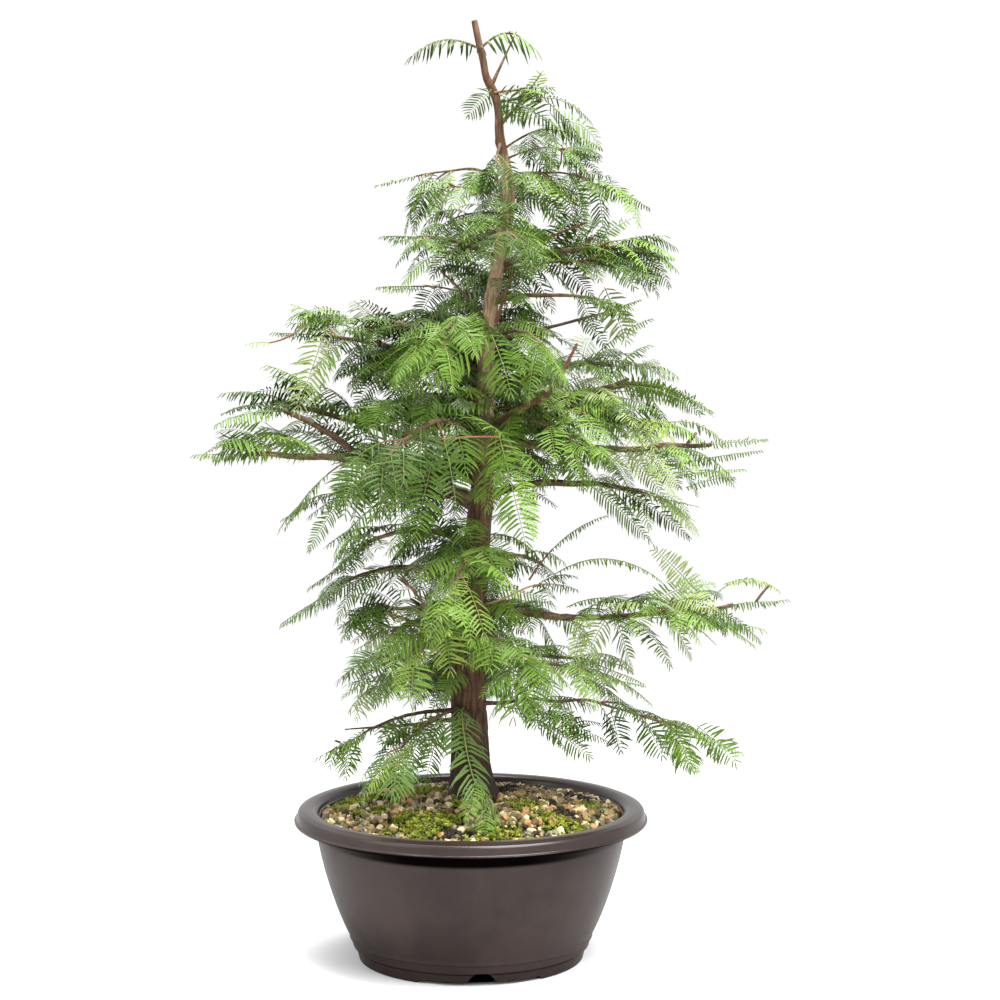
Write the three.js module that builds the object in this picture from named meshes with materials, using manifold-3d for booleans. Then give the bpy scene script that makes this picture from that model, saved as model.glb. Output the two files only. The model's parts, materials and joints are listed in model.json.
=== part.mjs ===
// A dawn redwood grown as a bonsai in a round plastic training pot.
// Millimetres, +Z up. The table is z = 0, and the origin is under the middle of the whole plant's box.
// +X is to the plant's right as it is shown, and -Y is its front.
//
// The plant is one rigid thing: pot, soil, one trunk, the boughs whose wood shows, and a closed, uneven
// solid for each mass of foliage. Pieces that meet keep a small gap.
import * as THREE from "three";
import { mergeVertices } from "three/addons/utils/BufferGeometryUtils.js";
import Module from "manifold-3d";

const wasm = await Module();
wasm.setup();

// ---------- driving dimensions ----------

const GAP = 0.4; // between pieces that meet
const LEAF_GAP = 1.2; // between a mass of foliage and what it meets
const POT = {
  rimRadius: 152.5,
  mouthRadius: 131.5,
  rimHeight: 133.5,
  lipDepth: 17.5,
  shoulderRadius: 133.5,
  waistRadius: 104.6,
  waistHeight: 21.5,
  belly: 5.4, // how far the wall swells beyond the straight line from waist to shoulder
  beadRadius: 103,
  footRadius: 97,
  footHeight: 10,
  wall: 2.8,
  floorTop: 14,
  floorUnderside: 11,
  footWidth: 5,
  sides: 24,
};
const FOOT = {
  arches: 3,
  firstArch: -84, // the way the first arch faces, in degrees
  archSpan: 64, // degrees of the foot ring that each arch takes
  archHeight: 3,
  notchRadius: 10.5, // of the round drain notch in the middle of each arch
};
const DRAIN_HOLES = { count: 4, radius: 6, circleRadius: 52 };
const SOIL = { edgeHeight: 121, moundHeight: 138, flatRadius: 30 };

// The trunk's line: height, how far it stands to the right and to the back of the pot's axis, and its girth
// (diameter there).
const TRUNK = [
  { height: 138.4, right: 2.5, back: 0, girth: 36 },
  { height: 189, right: 0, back: 1, girth: 32.5 },
  { height: 259, right: -1.8, back: 2, girth: 28.5 },
  { height: 328, right: 2.6, back: 1, girth: 26 },
  { height: 428, right: 11.2, back: -1, girth: 17.5 },
  { height: 544, right: 14.7, back: 0, girth: 14 },
  { height: 602, right: 24.1, back: 2, girth: 12.2 },
  { height: 656, right: 32.7, back: 2, girth: 11.4 },
  { height: 705, right: 25, back: 0, girth: 7.6 },
  { height: 771, right: 10, back: -1, girth: 6 },
  { height: 804, right: 3.2, back: 0, girth: 5.2 },
];
const ROOT_FLARE = { width: 7, height: 16, lobes: 5, lobeShare: 0.35 };

// Each bough leaves the trunk at: [height, turn], the turn in degrees: 0 is right, 90 back and -90 front.
// It goes to: [reach, rise] from there, and on its way bows above the straight line, most at the share peak
// (half way where none is given). leaf: [from, spread, above, below] is its foliage, which starts at that
// share of the way, and stretches so far to each side, above and below the limb. A bough with no leaf is a
// bare shoot. wood says that the limb shows, and so is a node of its own.
const BOUGHS = [
  // right side, from the lowest up
  { name: "right_low", at: [217, -11], to: [228, -40], bow: 22, girth: 7, wood: true,
    leaf: [0.14, 38, 14, 34] },
  { name: "right_low_back", at: [252, 15], to: [160, -24], bow: 16, girth: 6, leaf: [0.06, 44, 18, 28] },
  { name: "right_inner_back", at: [292, 28], to: [118, -14], bow: 10, girth: 6, leaf: [0.06, 36, 14, 36] },
  { name: "right_long", at: [306, -7], to: [270, 6], bow: -13, peak: 0.4, girth: 9, wood: true,
    leaf: [0.33, 46, 28, 42] },
  { name: "right_gold", at: [301, -24], to: [149, 27], bow: 24, peak: 0.7, girth: 4,
    leaf: [0.12, 24, 11, 22] },
  { name: "right_mid_lower", at: [395, 6], to: [190, -8], bow: 17, peak: 0.4, girth: 9, wood: true,
    leaf: [0.28, 44, 16, 44] },
  { name: "right_mid", at: [443, -6], to: [240, 2], bow: -4, peak: 0.6, girth: 10, wood: true,
    leaf: [0.18, 60, 34, 36] },
  { name: "right_mid_upper", at: [458, 11], to: [204, 14], bow: 28, peak: 0.6, girth: 11, wood: true,
    leaf: [0.24, 58, 30, 34] },
  { name: "right_upper_back", at: [490, 28], to: [180, 20], bow: 12, girth: 7, leaf: [0.06, 48, 24, 26] },
  { name: "right_feather", at: [533, 8], to: [134, 34], bow: -5, girth: 5, leaf: [0.06, 34, 16, 26] },
  { name: "right_high_low", at: [565, -22], to: [126, -8], bow: 8, girth: 6, leaf: [0.06, 42, 16, 26] },
  { name: "right_high", at: [597, -2], to: [150, 6], bow: 10, girth: 8, leaf: [0.14, 52, 20, 40] },
  { name: "right_top", at: [670, 2], to: [128, -24], bow: 22, girth: 6, leaf: [0.05, 44, 14, 42] },
  { name: "right_crest", at: [694, 12], to: [100, 14], bow: 16, girth: 5, leaf: [0.06, 34, 34, 22] },
  { name: "right_crest_shoot", at: [715, -4], to: [36, 44], bow: -3, girth: 4.4, wood: true },
  { name: "crest_tuft", at: [735, -22], to: [46, 8], bow: -2, girth: 3, leaf: [0.05, 18, 12, 14] },
  { name: "crest_shoot", at: [748, 6], to: [17, 47], bow: 0, girth: 3.6, wood: true },
  { name: "crest_fan", at: [780, -8], to: [46, 0], bow: 11, girth: 2.4, leaf: [0.1, 14, 7, 15] },
  // left side, from the lowest up
  { name: "left_low", at: [211, 178], to: [108, -17], bow: 2, girth: 7, wood: true },
  { name: "left_low_spray", at: [212, -165], to: [134, -36], bow: 12, girth: 5, leaf: [0.12, 30, 12, 28] },
  { name: "left_low_front", at: [215, -126], to: [132, -48], bow: 14, girth: 5, leaf: [0.12, 30, 13, 20] },
  { name: "left_second", at: [265, -151], to: [118, -34], bow: 18, girth: 8, leaf: [0.16, 42, 20, 30] },
  { name: "left_third", at: [284, 172], to: [116, -2], bow: 18, girth: 6, leaf: [0.06, 44, 24, 24] },
  { name: "left_arch", at: [320, -173], to: [166, -34], bow: 32, girth: 6, leaf: [0.06, 44, 18, 26] },
  { name: "left_hang", at: [355, -158], to: [150, -34], bow: 30, girth: 7, leaf: [0.06, 48, 18, 34] },
  { name: "left_hang_back", at: [387, 165], to: [182, -10], bow: 24, girth: 7, leaf: [0.06, 42, 18, 42] },
  { name: "left_long", at: [383, -176], to: [244, 50], bow: 38, peak: 0.32, girth: 12, wood: true,
    leaf: [0.3, 46, 22, 34] },
  { name: "left_long_upper", at: [439, 173], to: [238, 36], bow: 16, peak: 0.75, girth: 9, wood: true,
    leaf: [0.26, 48, 26, 28] },
  { name: "left_upper", at: [491, 172], to: [200, 52], bow: 12, girth: 7, leaf: [0.06, 48, 30, 38] },
  { name: "left_upper_mid", at: [535, -158], to: [122, 24], bow: 12, girth: 6, leaf: [0.06, 44, 18, 28] },
  { name: "left_bare_shoot", at: [544, 178], to: [48, 45], bow: 3, girth: 5, wood: true },
  { name: "left_high", at: [569, 160], to: [108, 10], bow: 4, girth: 5, leaf: [0.06, 40, 14, 24] },
  { name: "left_high_front", at: [602, -158], to: [106, 14], bow: 8, girth: 5, leaf: [0.06, 38, 18, 32] },
  { name: "left_top", at: [655, 180], to: [114, 8], bow: 20, peak: 0.45, girth: 5,
    leaf: [0.16, 36, 12, 44] },
  { name: "left_crest", at: [780, 176], to: [62, -8], bow: 12, girth: 2.4, leaf: [0.1, 12, 6, 12] },
  // front
  { name: "front_low", at: [227, -81], to: [92, -78], bow: 18, girth: 3.4, leaf: [0.06, 22, 8, 10] },
  { name: "front_mid", at: [348, -98], to: [160, -52], bow: 24, girth: 6, leaf: [0.06, 48, 22, 34] },
  { name: "front_mid_left", at: [452, -122], to: [188, -52], bow: 32, girth: 7, leaf: [0.06, 52, 24, 46] },
  { name: "front_right_hang", at: [452, -74], to: [140, -82], bow: 34, girth: 6, leaf: [0.06, 36, 16, 26] },
  { name: "front_upper_left", at: [541, -108], to: [156, -44], bow: 22, girth: 6,
    leaf: [0.06, 48, 18, 36] },
  { name: "front_upper_right", at: [530, -62], to: [132, -34], bow: 22, girth: 5,
    leaf: [0.06, 42, 20, 34] },
  { name: "front_high", at: [622, -88], to: [104, -20], bow: 12, girth: 5, leaf: [0.06, 40, 18, 34] },
  { name: "front_crest", at: [700, -96], to: [58, -20], bow: 12, girth: 4, leaf: [0.06, 28, 12, 24] },
  // back
  { name: "back_low", at: [243, 98], to: [156, -22], bow: 14, girth: 7, leaf: [0.06, 48, 16, 30] },
  { name: "back_low_right", at: [332, 62], to: [178, -8], bow: 18, girth: 7, leaf: [0.06, 50, 18, 32] },
  { name: "back_mid", at: [401, 112], to: [198, 4], bow: 20, girth: 9, wood: true,
    leaf: [0.2, 54, 20, 36] },
  { name: "back_upper", at: [478, 76], to: [186, 10], bow: 18, girth: 7, leaf: [0.06, 52, 20, 36] },
  { name: "back_upper_left", at: [540, 122], to: [156, 8], bow: 14, girth: 7, leaf: [0.06, 48, 18, 32] },
  { name: "back_high", at: [618, 92], to: [112, 4], bow: 10, girth: 5, leaf: [0.06, 42, 18, 34] },
];

const LIMB_FACETS = { around: 6, along: 5 };
const TRUNK_FACETS = { around: 10, along: 22, swell: 1 };
const TRUNK_SLEEVE = { around: 6, along: 22, swell: 1.17 }; // coarse, and stout enough to hold the trunk
const MASS_FACETS = { around: 8, along: 6 };
const TUFT_FACETS = { around: 6, along: 5 }; // of a mass that spreads less than the tuft width
const TUFT_WIDTH = 26;
const TIP_SHARE = 0.34; // a limb's girth at its tip, of its girth at the trunk
const INTO_LEAF = 0.16; // how much further than its foliage's start a limb is drawn before it is cut
const SLIVER = { hard: 0.15, leaf: 0.5 }; // slivers that a cut leaves are joined within this distance
const UNEVEN = 0.17; // how far a mass swells and shrinks about its smooth form

const rad = THREE.MathUtils.degToRad;
const lerp = THREE.MathUtils.lerp;

// ---------- materials ----------

const finish = (color, roughness) => new THREE.MeshStandardMaterial({ color, roughness, metalness: 0 });
const plastic = finish(0x5a504d, 0.42);
const grit = finish(0x8a7862, 0.95);
const bark = finish(0x7a4f38, 0.9);
const needles = finish(0x5f9440, 0.6);

// ---------- solids ----------

// A closed three.js geometry as a solid: only position is kept, so that its vertices can be merged.
function solidOf(geometry) {
  geometry.deleteAttribute("normal");
  geometry.deleteAttribute("uv");
  const merged = mergeVertices(geometry, 1e-3);
  const vertProperties = new Float32Array(merged.attributes.position.array);
  const triVerts = new Uint32Array(merged.index.array);
  const solid = new wasm.Manifold(new wasm.Mesh({ numProp: 3, vertProperties, triVerts }));
  if (solid.volume() > 0) return solid;
  for (let i = 0; i < triVerts.length; i += 3) {
    [triVerts[i + 1], triVerts[i + 2]] = [triVerts[i + 2], triVerts[i + 1]];
  }
  return new wasm.Manifold(new wasm.Mesh({ numProp: 3, vertProperties, triVerts }));
}

function geometryOf(solid) {
  const mesh = solid.getMesh();
  const corners = new Float32Array(mesh.numVert * 3);
  for (let i = 0; i < mesh.numVert; i++) {
    corners.set(mesh.vertProperties.subarray(i * mesh.numProp, i * mesh.numProp + 3), i * 3);
  }
  const geometry = new THREE.BufferGeometry();
  geometry.setAttribute("position", new THREE.BufferAttribute(corners, 3));
  geometry.setIndex(new THREE.BufferAttribute(new Uint32Array(mesh.triVerts), 1));
  geometry.computeVertexNormals();
  return geometry;
}

// Moves each vertex of a unit shape to place(vertex), and gives the bent shape as a solid.
function bent(geometry, place) {
  const at = geometry.attributes.position;
  const v = new THREE.Vector3();
  for (let i = 0; i < at.count; i++) {
    v.fromBufferAttribute(at, i);
    const moved = place(v);
    at.setXYZ(i, moved.x, moved.y, moved.z);
  }
  return solidOf(geometry);
}

function lathed(profile, sides) {
  const geometry = new THREE.LatheGeometry(profile.map(([r, z]) => new THREE.Vector2(r, z)), sides);
  geometry.rotateX(Math.PI / 2); // a lathe turns about Y, and the pot's axis is Z
  return solidOf(geometry);
}

const biggest = (solid) => solid.decompose().reduce((a, b) => (b.volume() > a.volume() ? b : a));

// The piece of a cut limb that still stands at the trunk.
function nearestTo(point, solid) {
  const distance = (piece) => {
    const { min, max } = piece.boundingBox();
    const box = new THREE.Box3(new THREE.Vector3(...min), new THREE.Vector3(...max));
    return box.distanceToPoint(point);
  };
  return solid.decompose().reduce((a, b) => (distance(b) < distance(a) ? b : a));
}

const group = new THREE.Group();
function add(name, solid, material, sliver = SLIVER.hard) {
  const mesh = new THREE.Mesh(geometryOf(solid.simplify(sliver)), material);
  mesh.name = name;
  group.add(mesh);
}

// ---------- pot ----------

// The wall's outer radius at a height, swelling out between the waist and the shoulder.
function wallRadius(height) {
  const top = POT.rimHeight - POT.lipDepth;
  const t = THREE.MathUtils.clamp((height - POT.waistHeight) / (top - POT.waistHeight), 0, 1);
  return lerp(POT.waistRadius, POT.shoulderRadius, t) + POT.belly * Math.pow(Math.sin(Math.PI * t), 0.6);
}

function potProfile() {
  const { rimRadius: rim, mouthRadius: mouth, rimHeight: top, footRadius: foot, wall } = POT;
  const lipFoot = top - POT.lipDepth;
  return [
    [0, POT.floorUnderside],
    [foot - POT.footWidth, POT.floorUnderside],
    [foot - POT.footWidth, 0],
    [foot, 0],
    [foot + 2, POT.footHeight],
    [POT.beadRadius, POT.footHeight + 2],
    [POT.waistRadius + 0.4, POT.waistHeight - 1.5],
    ...[25, 36, 58, 86].map((z) => [wallRadius(z), z]),
    [POT.shoulderRadius, lipFoot - 1],
    [POT.shoulderRadius + 1, lipFoot + 3.5],
    [rim - 2.5, lipFoot],
    [rim, lipFoot],
    [rim, lipFoot + 2.5],
    [rim - 3.5, top - 8],
    [rim - 13, top],
    [mouth, top - 6],
    ...[96, 62, 30].map((z) => [wallRadius(z) - wall, z]),
    [foot - 1, POT.floorTop],
    [0, POT.floorTop],
  ];
}

function makePot() {
  let pot = lathed(potProfile(), POT.sides);
  const outside = POT.footRadius + 20;
  const under = 5; // how far a cutter starts below the foot
  for (let i = 0; i < FOOT.arches; i++) {
    const facing = rad(FOOT.firstArch + (i * 360) / FOOT.arches);
    // The notch is a short round bar laid across the foot ring.
    const notch = new THREE.CylinderGeometry(FOOT.notchRadius, FOOT.notchRadius, 4 * POT.footWidth, 12);
    notch.rotateZ(Math.PI / 2);
    notch.translate(POT.footRadius - POT.footWidth / 2, 0, 0);
    notch.rotateZ(facing);
    pot = pot.subtract(solidOf(notch));
    // The arch is a low wedge of the span, from the axis outwards.
    const half = rad(FOOT.archSpan / 2);
    const wedge = new THREE.Shape();
    wedge.moveTo(0, 0);
    wedge.absarc(0, 0, outside, -half, half, false);
    wedge.closePath();
    const depth = FOOT.archHeight + under;
    const arch = new THREE.ExtrudeGeometry(wedge, { depth, bevelEnabled: false, curveSegments: 8 });
    arch.translate(0, 0, -under);
    arch.rotateZ(facing);
    pot = pot.subtract(solidOf(arch));
  }
  for (let i = 0; i < DRAIN_HOLES.count; i++) {
    const hole = new THREE.CylinderGeometry(DRAIN_HOLES.radius, DRAIN_HOLES.radius, 12, 8);
    hole.rotateX(Math.PI / 2);
    hole.translate(DRAIN_HOLES.circleRadius, 0, (POT.floorTop + POT.floorUnderside) / 2);
    hole.rotateZ(rad(45 + (i * 360) / DRAIN_HOLES.count));
    pot = pot.subtract(solidOf(hole));
  }
  return pot;
}

// ---------- soil ----------

function soilProfile(grow = 0) {
  const clear = POT.wall + GAP - grow;
  const edge = wallRadius(100) - clear - 0.4;
  const slope = [0.33, 0.66].map((t) => [
    lerp(SOIL.flatRadius, edge, t),
    lerp(SOIL.moundHeight, SOIL.edgeHeight, Math.pow(t, 1.5)) + grow,
  ]);
  return [
    [0, POT.floorTop + GAP],
    [POT.footRadius - 1 - GAP, POT.floorTop + GAP],
    [wallRadius(30) - clear, 30],
    [wallRadius(62) - clear, 62],
    [wallRadius(96) - clear - 0.2, 96],
    [edge, SOIL.edgeHeight + grow],
    ...slope.reverse(),
    [SOIL.flatRadius, SOIL.moundHeight + grow],
    [0, SOIL.moundHeight + grow],
  ];
}

// Everything that foliage stays clear of: the pot's outside, and the mound of soil in it.
function makeKeepOut() {
  const rim = POT.rimRadius + GAP;
  const outline = [
    [0, -1],
    [rim, -1],
    [rim, POT.rimHeight + GAP],
    [POT.mouthRadius, POT.rimHeight + GAP],
    ...soilProfile(GAP).slice(5),
  ];
  return lathed(outline, POT.sides);
}

// ---------- trunk ----------

const trunkLine = new THREE.CatmullRomCurve3(TRUNK.map((s) => new THREE.Vector3(s.right, s.back, s.height)));

// The trunk's centre and radius where it passes a height.
function trunkAt(height) {
  const last = TRUNK.length - 1;
  const z = THREE.MathUtils.clamp(height, TRUNK[0].height, TRUNK[last].height);
  const i = Math.min(TRUNK.findIndex((s, k) => k === last || z < TRUNK[k + 1].height), last - 1);
  const t = (z - TRUNK[i].height) / (TRUNK[i + 1].height - TRUNK[i].height);
  const centre = trunkLine.getPoint((i + t) / last);
  return { centre, radius: lerp(TRUNK[i].girth, TRUNK[i + 1].girth, t) / 2 };
}

function makeTrunk(grow = 0, facets = TRUNK_FACETS) {
  const { swell } = facets;
  const last = TRUNK.length - 1;
  const foot = TRUNK[0].height;
  return bent(new THREE.CylinderGeometry(1, 1, 1, facets.around, facets.along), (v) => {
    const share = v.y + 0.5;
    const height = lerp(foot, TRUNK[last].height, share);
    const { centre, radius } = trunkAt(height);
    const angle = Math.atan2(v.z, v.x);
    const flare = ROOT_FLARE.width * Math.exp(-(height - foot) / ROOT_FLARE.height);
    const lobe = 1 + ROOT_FLARE.lobeShare * Math.cos(ROOT_FLARE.lobes * angle + 0.6);
    const out = Math.hypot(v.x, v.z) * ((radius + flare * lobe) * swell + grow);
    const end = share === 0 ? -grow : share === 1 ? grow : 0;
    const around = new THREE.Vector3(out * Math.cos(angle), -out * Math.sin(angle), 0);
    return around.add(centre).setZ(height + end);
  });
}

// ---------- boughs ----------

// A point on the bough's line at a share of its way, and the way it points there.
function boughAt(bough, share) {
  const { bow, peak = 0.5 } = bough;
  const [height, turn] = bough.at;
  const [reach, rise] = bough.to;
  const skew = Math.log(0.5) / Math.log(peak);
  const { centre } = trunkAt(height);
  const lift = (s) => rise * s + bow * Math.sin(Math.PI * Math.pow(s, skew));
  const way = new THREE.Vector3(Math.cos(rad(turn)), Math.sin(rad(turn)), 0);
  const inside = THREE.MathUtils.clamp(share, 0, 1);
  const point = centre.clone().addScaledVector(way, reach * share);
  const slope = (lift(Math.min(inside + 0.01, 1)) - lift(Math.max(inside - 0.01, 0))) / (0.02 * reach);
  point.z = height + lift(inside) + (share - inside) * reach * slope;
  const ahead = way.clone().setZ(slope).normalize();
  const side = new THREE.Vector3(-way.y, way.x, 0);
  const up = new THREE.Vector3().crossVectors(ahead, side);
  return { point, ahead, side, up };
}

function makeLimb(bough, grow = 0) {
  const { around, along } = LIMB_FACETS;
  const to = bough.leaf ? bough.leaf[0] + INTO_LEAF : 1;
  return bent(new THREE.CylinderGeometry(1, 1, 1, around, along), (v) => {
    const share = lerp(0, to + grow / bough.to[0], v.y + 0.5);
    const { point, side, up } = boughAt(bough, share);
    const radius = (bough.girth / 2) * lerp(1, TIP_SHARE, share) + grow;
    return point.addScaledVector(side, v.x * radius).addScaledVector(up, v.z * radius);
  });
}

// ---------- foliage ----------

// A smooth, repeatable unevenness between -1 and 1 over a unit shape. Each seed gives its own.
function uneven(seed, v) {
  const a = Math.sin(5.1 * v.x + 3.7 * v.z + 2.3 * seed);
  const b = Math.sin(6.3 * v.z - 4.1 * v.y + 1.7 * seed + 1.3);
  const c = Math.sin(9.7 * v.y + 4.9 * v.x + 3.1 * seed + 0.4);
  return (a + b + c) / 3;
}

// A unit ball drawn out along the bough's leafy stretch: thin at both ends, widest half way, and as a rule
// flatter above the limb than below it.
function makeMass(bough, seed, grow = 0) {
  const [leafFrom, spread, above, below] = bough.leaf;
  const from = bough.wood ? leafFrom : 0;
  const facets = spread < TUFT_WIDTH ? TUFT_FACETS : MASS_FACETS;
  const ball = new THREE.SphereGeometry(1, facets.around, facets.along);
  return bent(ball, (v) => {
    const along = (1 - v.y) / 2;
    const stretch = grow / bough.to[0];
    const share = lerp(from - stretch, 1 + stretch, along);
    const { point, side, up } = boughAt(bough, share);
    const swell = 1 + UNEVEN * uneven(seed, v);
    const across = v.x * (spread * swell + grow);
    const height = v.z * ((v.z > 0 ? above : below) * swell + grow);
    return point.addScaledVector(side, across).addScaledVector(up, height);
  });
}

// ---------- assembly ----------

const pot = makePot();
const soil = lathed(soilProfile(), POT.sides);
const trunk = makeTrunk();
add("pot", pot, plastic);
add("soil", soil, grit);
add("trunk", trunk, bark);

const keepOut = makeKeepOut();
const trunkGrown = makeTrunk(GAP);
const trunkSleeve = makeTrunk(LEAF_GAP, TRUNK_SLEEVE);
const bareLimbs = BOUGHS.filter((b) => !b.leaf);
const leafy = BOUGHS.filter((b) => b.leaf);

// Each mass is cut round the trunk and the bare shoots, and round the masses before it.
const taken = [trunkSleeve, keepOut, ...bareLimbs.map((bough) => makeLimb(bough, LEAF_GAP))];
leafy.forEach((bough, seed) => {
  const cutters = wasm.Manifold.union(taken);
  add("foliage_" + bough.name, biggest(makeMass(bough, seed).subtract(cutters)), needles, SLIVER.leaf);
  taken.push(makeMass(bough, seed, LEAF_GAP));
});

// A limb runs from the trunk to where it enters foliage.
const allMasses = wasm.Manifold.union(taken.slice(2 + bareLimbs.length));
for (const bough of BOUGHS.filter((b) => b.wood)) {
  const cut = makeLimb(bough).subtract(trunkGrown);
  const clear = bough.leaf ? cut.subtract(allMasses) : cut;
  const { centre } = trunkAt(bough.at[0]);
  add("bough_" + bough.name, nearestTo(centre, clear), bark);
}

// The origin goes under the middle of the whole plant's box.
const middle = new THREE.Box3().setFromObject(group).getCenter(new THREE.Vector3());
group.position.set(-middle.x, -middle.y, 0);

export default group;
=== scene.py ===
"""A young dawn redwood grown as a bonsai in a round plastic training pot.

Metres, +Z up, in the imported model's frame. Shapes are worked out in millimetres from the pot's axis and the
table, and placed at the end. The plant's right is +X and its front is -Y.
"""
import json
import math
from collections import defaultdict

import bmesh
import bpy
import numpy as np
from bpy.props import FloatProperty, FloatVectorProperty, IntProperty, PointerProperty
from mathutils import Euler, Matrix, Vector

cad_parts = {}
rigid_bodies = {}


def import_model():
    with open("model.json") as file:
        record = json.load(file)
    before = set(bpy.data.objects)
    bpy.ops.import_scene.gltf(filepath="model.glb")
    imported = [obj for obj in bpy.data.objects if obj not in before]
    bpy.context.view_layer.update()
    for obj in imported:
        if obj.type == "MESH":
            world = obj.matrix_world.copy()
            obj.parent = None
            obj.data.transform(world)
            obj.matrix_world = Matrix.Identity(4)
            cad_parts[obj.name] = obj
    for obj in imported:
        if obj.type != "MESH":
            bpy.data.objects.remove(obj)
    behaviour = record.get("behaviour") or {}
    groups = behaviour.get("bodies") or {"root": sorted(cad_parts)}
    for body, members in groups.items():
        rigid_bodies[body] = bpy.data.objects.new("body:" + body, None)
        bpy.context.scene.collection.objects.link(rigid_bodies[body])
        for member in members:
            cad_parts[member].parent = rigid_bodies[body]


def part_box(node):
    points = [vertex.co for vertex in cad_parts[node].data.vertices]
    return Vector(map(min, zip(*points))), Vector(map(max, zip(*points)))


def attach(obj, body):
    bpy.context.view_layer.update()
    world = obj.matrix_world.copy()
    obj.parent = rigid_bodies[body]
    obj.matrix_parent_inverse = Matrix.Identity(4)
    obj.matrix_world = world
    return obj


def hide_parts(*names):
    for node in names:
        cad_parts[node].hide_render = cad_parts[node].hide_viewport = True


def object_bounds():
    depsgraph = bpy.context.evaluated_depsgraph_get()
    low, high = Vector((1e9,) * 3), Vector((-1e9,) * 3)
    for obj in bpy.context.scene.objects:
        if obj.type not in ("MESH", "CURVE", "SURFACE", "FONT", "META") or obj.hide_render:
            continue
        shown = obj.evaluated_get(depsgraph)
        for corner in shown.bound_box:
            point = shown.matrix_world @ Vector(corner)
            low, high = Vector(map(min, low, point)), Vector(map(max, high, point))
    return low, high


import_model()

bl_info = {
    "name": "Dawn Redwood Bonsai",
    "version": (1, 0, 0),
    "blender": (4, 5, 0),
    "location": "3D View > Sidebar > Redwood",
    "description": "Builds a potted dawn redwood bonsai piece by piece",
    "category": "Add Mesh",
}

# ---------- the frame ----------

MM = 0.001
BODY = "root"
CAD_LOW, CAD_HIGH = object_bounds()
POT_LOW, POT_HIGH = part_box("pot")
AXIS = np.array([(POT_LOW.x + POT_HIGH.x) / 2, (POT_LOW.y + POT_HIGH.y) / 2, 0.0])
RIM_RADIUS = (POT_HIGH.x - POT_LOW.x) / 2 / MM
RIM_HEIGHT = POT_HIGH.z / MM
SOIL_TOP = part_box("soil")[1].z / MM
TIP_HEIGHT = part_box("trunk")[1].z / MM
UP = np.array([0.0, 0.0, 1.0])

# ---------- the pot's outline, in millimetres ----------

WAIST_RADIUS = 104.6
WAIST_HEIGHT = 21.5
SHOULDER_RADIUS = 133.5
LIP_DEPTH = 15.0
BELLY = 5.4
WALL = 2.8
FOOT_RADIUS = 97.0
FOOT_HEIGHT = 10.0
FOOT_WIDTH = 5.0
FLOOR_TOP = 14.0
FLOOR_UNDERSIDE = 11.0
ARCHES = 3
FIRST_ARCH = -84.0
ARCH_SPAN = 64.0
ARCH_HEIGHT = 3.0
NOTCH_RADIUS = 12.4
# A plain rib stands under the floor, just inside the foot. It is painted near-black with the underside, as
# painted shade that shows through the arches and notches.
RIB_RADIUS = 88.5
RIB_WIDTH = 3.5
RIB_FOOT = 0.5
DRAIN_RADIUS = 6.0
DRAIN_CIRCLE = 52.0
DRAINS = 4
FIRST_DRAIN = 45
# The rim isn't quite level: how much lower it is in front than in the middle.
RIM_DIP = 2.2
# How far down the painted shadow under the lip reaches.
LIP_SHADE = 10.5

# ---------- the soil, in millimetres ----------

SOIL_EDGE = 121.0
SOIL_FLAT = 30.0
SOIL_GAP = 0.6
# Patches on the mound: right, back, radius.
MOSS_PATCHES = [
    (-38, -80, 40),
    (-98, 26, 34),
    (76, -70, 28),
    (-44, 30, 30),
    (20, -104, 24),
    (46, -30, 24),
    (-82, -30, 22),
    (104, 6, 14),
    (-20, 98, 26),
    (60, 92, 20),
    (-8, -36, 18),
]
CRUMB_PATCHES = [(42, 62, 30), (20, 30, 22), (-70, 8, 16), (96, 40, 20), (-10, -108, 14), (80, -40, 14)]

# ---------- the wood, in millimetres ----------

# The trunk's line: height, right, back, girth.
TRUNK = np.array(
    [
        (138.4, 0.8, 0, 35),
        (189, -1.2, 1, 32),
        (259, -1.8, 2, 28.5),
        (328, 2.6, 1, 26),
        (428, 11.2, -1, 17.5),
        (544, 14.7, 0, 14),
        (602, 24.1, 2, 12.2),
        (656, 32.7, 2, 11.4),
        (705, 25, 0, 7.8),
        (741, 20.5, 0, 7.2),
        (757, 13.0, -0.5, 6.4),
        (771, 10, -1, 6),
        (804, 3.2, 0, 5.2),
    ]
)
FLARE_WIDTH = 5.0
FLARE_HEIGHT = 16.0
ROOT_LOBES = 5
TIP_SHARE = 0.34
# The boughs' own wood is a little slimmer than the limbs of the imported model.
LIMB_SHARE = 0.74
GOLDEN_TURN = 2.39996
# Where the trunk shows in front: low, high, and the chance that a sprout is missing.
BARE_STRETCHES = [(372, 444, 0.7), (478, 526, 0.75), (684, 722, 0.8)]


class Bough:
    """One bough: where it leaves the trunk, where it goes, and the foliage it carries.

    at is its height and the way it faces (0 right, 90 back, -90 front), to its reach and its rise. bow lifts
    it on the way, most at the share peak. leaf is the share where its foliage starts, the foliage's half
    width, and how far it stands above and hangs below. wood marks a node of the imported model. tint names its
    mix of greens, needle scales its needles, hang is how much hangs down, top how much stands on top, fill
    how close its side shoots are, tilt how they rise, droop how far they bend down, close the share of its
    way where they end, and twig the kind of wood it has. A single bough is one feather.
    """

    USUAL = {
        "tint": "usual", "needle": 1.0, "hang": 0.3, "top": 0.5, "fill": 1.0, "tilt": 0.34, "droop": 1.0,
        "close": 0.88, "twig": "bark", "single": False,
    }

    def __init__(self, name, at, to, bow, girth, leaf=None, peak=0.5, wood=False, **looks):
        self.name = name
        self.height, self.turn = at
        self.reach, self.rise = to
        self.bow, self.peak, self.girth, self.leaf, self.wood = bow, peak, girth, leaf, wood
        for key, usual in self.USUAL.items():
            setattr(self, key, looks.get(key, usual))


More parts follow.
